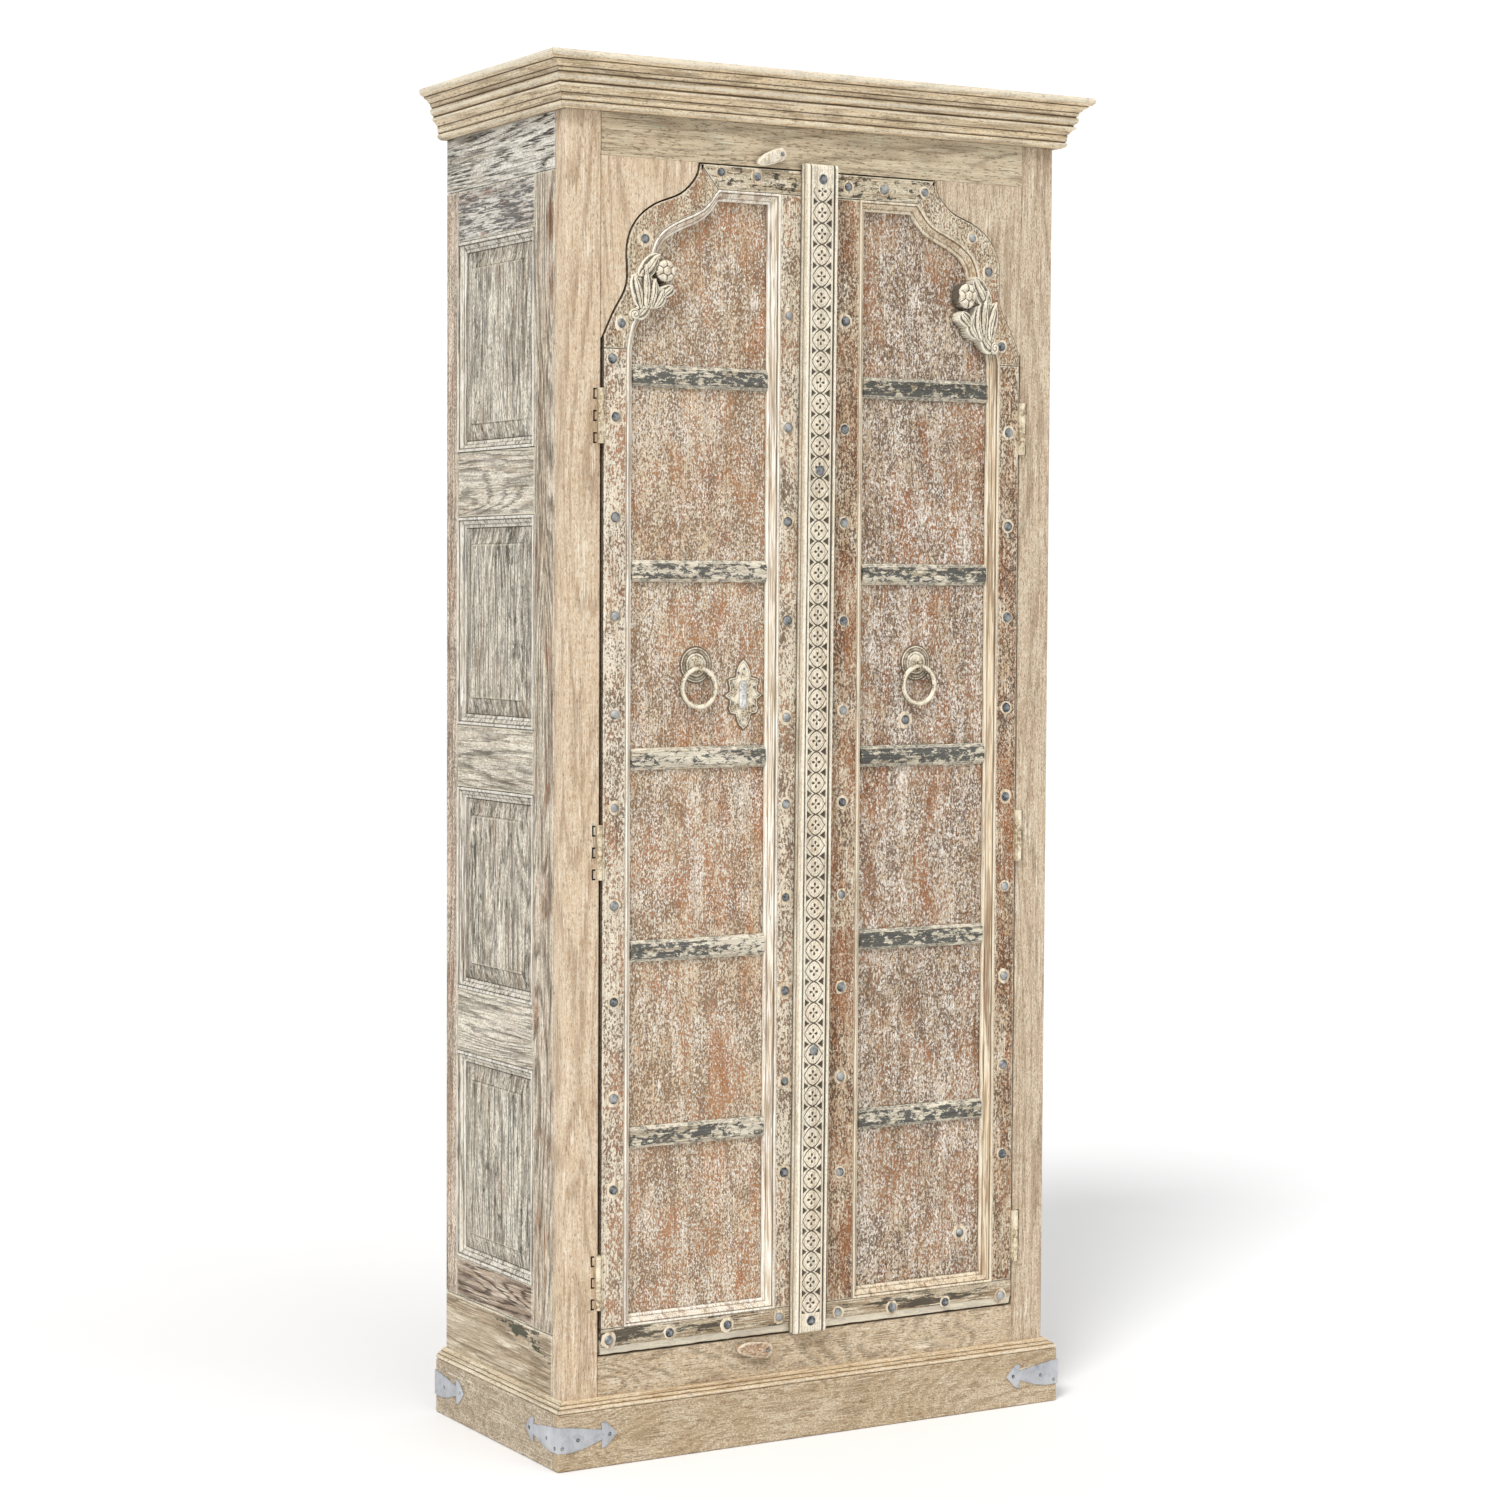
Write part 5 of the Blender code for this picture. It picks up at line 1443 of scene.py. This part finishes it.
def button_leaf(name, pivot):
    """A leaf-shaped button with a faceted face, a painted shadow along its back edge, and the boss that it
    turns on.
    """
    _, angle, length, width = BUTTONS[name]
    low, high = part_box(name)
    half = width / 2
    turn = math.radians(angle)
    back = BUTTON_BACK_Y
    # The back edge is set below 0 and darkens as a painted shadow beneath the button.
    stages = (
        (back, 1.0, -0.6), (back - 0.0046, 1.0, 0.3), (back - 0.0056, 0.94, 1.0),
        (low.y + 0.0010, 0.66, 0.4), (low.y + 0.0004, 0.20, 0.0),
    )
    rings = []
    for y, share, wear_and_shade in stages:
        ring = []
        for ahead, across in BUTTON_LEAF:
            ahead = length * 0.3 + (ahead * (length if ahead > 0 else half) - length * 0.3) * share
            across = across * half * share
            x = pivot.x - (ahead * math.cos(turn) - across * math.sin(turn))
            z = pivot.z + ahead * math.sin(turn) + across * math.cos(turn)
            ring.append((x, y, z, wear_and_shade))
        rings.append(ring)
    circle = [(pivot.x + BUTTON_BOSS_R * u, pivot.z + BUTTON_BOSS_R * v) for u, v in round_steps(24)]
    boss = skin([[(x, y, z, 0.0) for x, z in circle] for y in (back + 0.0002, high.y)])
    return merged([skin(rings), boss])


def turn_buttons():
    """Both wooden buttons and their screws."""
    pivots = {joint["child"]: Vector(joint["pos_m"]) for joint in frame["joints"]}
    for name, (look, *_) in BUTTONS.items():
        pivot = pivots[name]
        piece(f"{name}_leaf", button_leaf(name, pivot), look, name, [name], 25)

        def place(u, v, out, y=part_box(name)[0].y):
            return (u, y + 0.0004 - out, v)

        head = bmesh.new()
        dome(head, place, pivot.x, pivot.z, *SCREW_SIZE, 3.0, 14, 3)
        piece(f"{name}_screw", head, "stud", name, (), 60)


NOTCH_INNER_X = 0.3826
NOTCH_OUTER_X = NOTCH_INNER_X + 0.0056
NOTCH_HEIGHT = 0.0160
NOTCH_LINE = 0.0022
NOTCH_OUT = 0.0004


def hinge_notch_shadows(side):
    """Dark strips of painted shadow at the edges of the notches that let the knuckles into the front stile,
    three beside each hinge.
    """
    strips = []
    for level in ("top", "middle", "bottom"):
        low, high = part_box(f"hinge_{side}_{level}_frame_leaf")
        middle = (low.z + high.z) / 2
        pitch = (high.z - low.z - NOTCH_HEIGHT) / 2
        for step in (-1, 0, 1):
            bottom = middle + step * pitch - NOTCH_HEIGHT / 2
            top = bottom + NOTCH_HEIGHT
            edges = (
                (NOTCH_INNER_X, bottom, bottom + NOTCH_LINE), (NOTCH_INNER_X, top - NOTCH_LINE, top),
                (NOTCH_OUTER_X - NOTCH_LINE, bottom, top),
            )
            for inner, z0, z1 in edges:
                x = sorted((SIDES[side] * inner, SIDES[side] * NOTCH_OUTER_X))
                ends = (x[0], FRONT_Y - NOTCH_OUT, z0), (x[1], FRONT_Y + 0.0002, z1)
                strips.append(board(*ends, 0.0001, 0.001))
    bm = merged(strips)
    # Every point is set to -1, so the strips take the dark tone all over as painted shadow.
    layer = wear_and_shade_layer(bm)
    for vert in bm.verts:
        vert[layer] = -1.0
    piece(f"hinge_notch_shadows_{side}", bm, "notch_shade", "carcass", (), 30)


# ---- Stage ---------------------------------------------------------------------------------

FLOOR_HALF = 15.0
FLOOR_Z = -0.0005
CAMERA_PLACE = (-2.6458, -4.2205, 1.2837)
CAMERA_YAW = math.radians(28.361)
CAMERA_PITCH = math.radians(-2.815)
CAMERA_ROLL = math.radians(0.13)
CAMERA_LENS = 76.40
CAMERA_SHIFT_X = 0.1333
# Strength of the surrounding light on the object, and of the white that the camera sees behind it.
AMBIENT = 0.64
BACKDROP = 1.05
# Sun lights: angle round the object (0 is from the front, negative from its left), height and softness
# in degrees, and strength.
LAMPS = {"key": (-50.0, 46.0, 16.0, 1.75), "fill": (14.0, 55.0, 40.0, 0.40)}


def link(name, data):
    obj = bpy.data.objects.new(name, data)
    bpy.context.scene.collection.objects.link(obj)
    return obj


def add_floor():
    bm = bmesh.new()
    bmesh.ops.create_grid(bm, x_segments=2, y_segments=2, size=FLOOR_HALF)
    bmesh.ops.translate(bm, verts=bm.verts, vec=(0.0, 0.0, FLOOR_Z))
    mesh = bpy.data.meshes.new("floor")
    bm.to_mesh(mesh)
    bm.free()
    floor = link("floor", mesh)
    shade = Shade("pale_floor")
    shade.height = shade.noise((3.0, 3.0, 3.0), (0.0, 0.0, 0.0))
    shade.colour = shade.mix(shade.height, (0.93, 0.93, 0.93, 1.0), (0.96, 0.96, 0.96, 1.0))
    mesh.materials.append(shade.finish(0.9, 0.0001))
    floor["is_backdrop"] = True


def add_lights():
    """A soft white surround and two sun lights."""
    world = bpy.data.worlds.new("studio")
    world.use_nodes = True
    nodes = world.node_tree.nodes
    background = nodes["Background"]
    background.inputs["Color"].default_value = (1.0, 1.0, 1.0, 1.0)
    path = nodes.new("ShaderNodeLightPath")
    strength = nodes.new("ShaderNodeMapRange")
    strength.inputs["To Min"].default_value = AMBIENT
    strength.inputs["To Max"].default_value = BACKDROP
    world.node_tree.links.new(path.outputs["Is Camera Ray"], strength.inputs["Value"])
    world.node_tree.links.new(strength.outputs[0], background.inputs["Strength"])
    bpy.context.scene.world = world
    for name, (angle, height, softness, power) in LAMPS.items():
        lamp = bpy.data.lights.new(name, "SUN")
        lamp.angle = math.radians(softness)
        lamp.energy = power
        link(name, lamp).rotation_euler = (math.radians(90 - height), 0.0, math.radians(angle))


def add_camera():
    level = math.cos(CAMERA_PITCH)
    forward = Vector((math.sin(CAMERA_YAW) * level, math.cos(CAMERA_YAW) * level, math.sin(CAMERA_PITCH)))
    right = Vector((math.cos(CAMERA_YAW), -math.sin(CAMERA_YAW), 0.0))
    up = right.cross(forward)
    rolled_right = right * math.cos(CAMERA_ROLL) + up * math.sin(CAMERA_ROLL)
    rolled_up = up * math.cos(CAMERA_ROLL) - right * math.sin(CAMERA_ROLL)
    turn = Matrix((rolled_right, rolled_up, -forward)).transposed()
    camera = link("camera", bpy.data.cameras.new("camera"))
    camera.data.sensor_width = 36.0
    camera.data.lens = CAMERA_LENS
    camera.data.shift_x = CAMERA_SHIFT_X
    camera.matrix_world = Matrix.Translation(CAMERA_PLACE) @ turn.to_4x4()
    bpy.context.scene.camera = camera
    bpy.context.scene.view_settings.view_transform = "Standard"


def build():
    finish_cad_nodes()
    run_moulding("cornice", CORNICE_PROFILE, ("cornice", "cornice_side"), 0.0007)
    plinth_looks = ("plinth_moulding", "plinth_moulding_side")
    run_moulding("plinth_moulding", PLINTH_MOULDING, plinth_looks, 0.0004)
    side_walls()
    back_planks()
    corner_straps()
    for side in SIDES:
        door_boards(side)
        door_bottom_rail(side)
        hinge_notch_shadows(side)
        door_moulding(side)
        door_panel(side)
        leaf_carving(side)
        studs(side)
        ring_pull(side)
    carved_strip()
    lock_plate()
    turn_buttons()
    add_floor()
    add_lights()
    add_camera()


build()
corners = {"cad": cad_box, "visual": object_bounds()}
{name: [list(corner) for corner in box] for name, box in corners.items()}
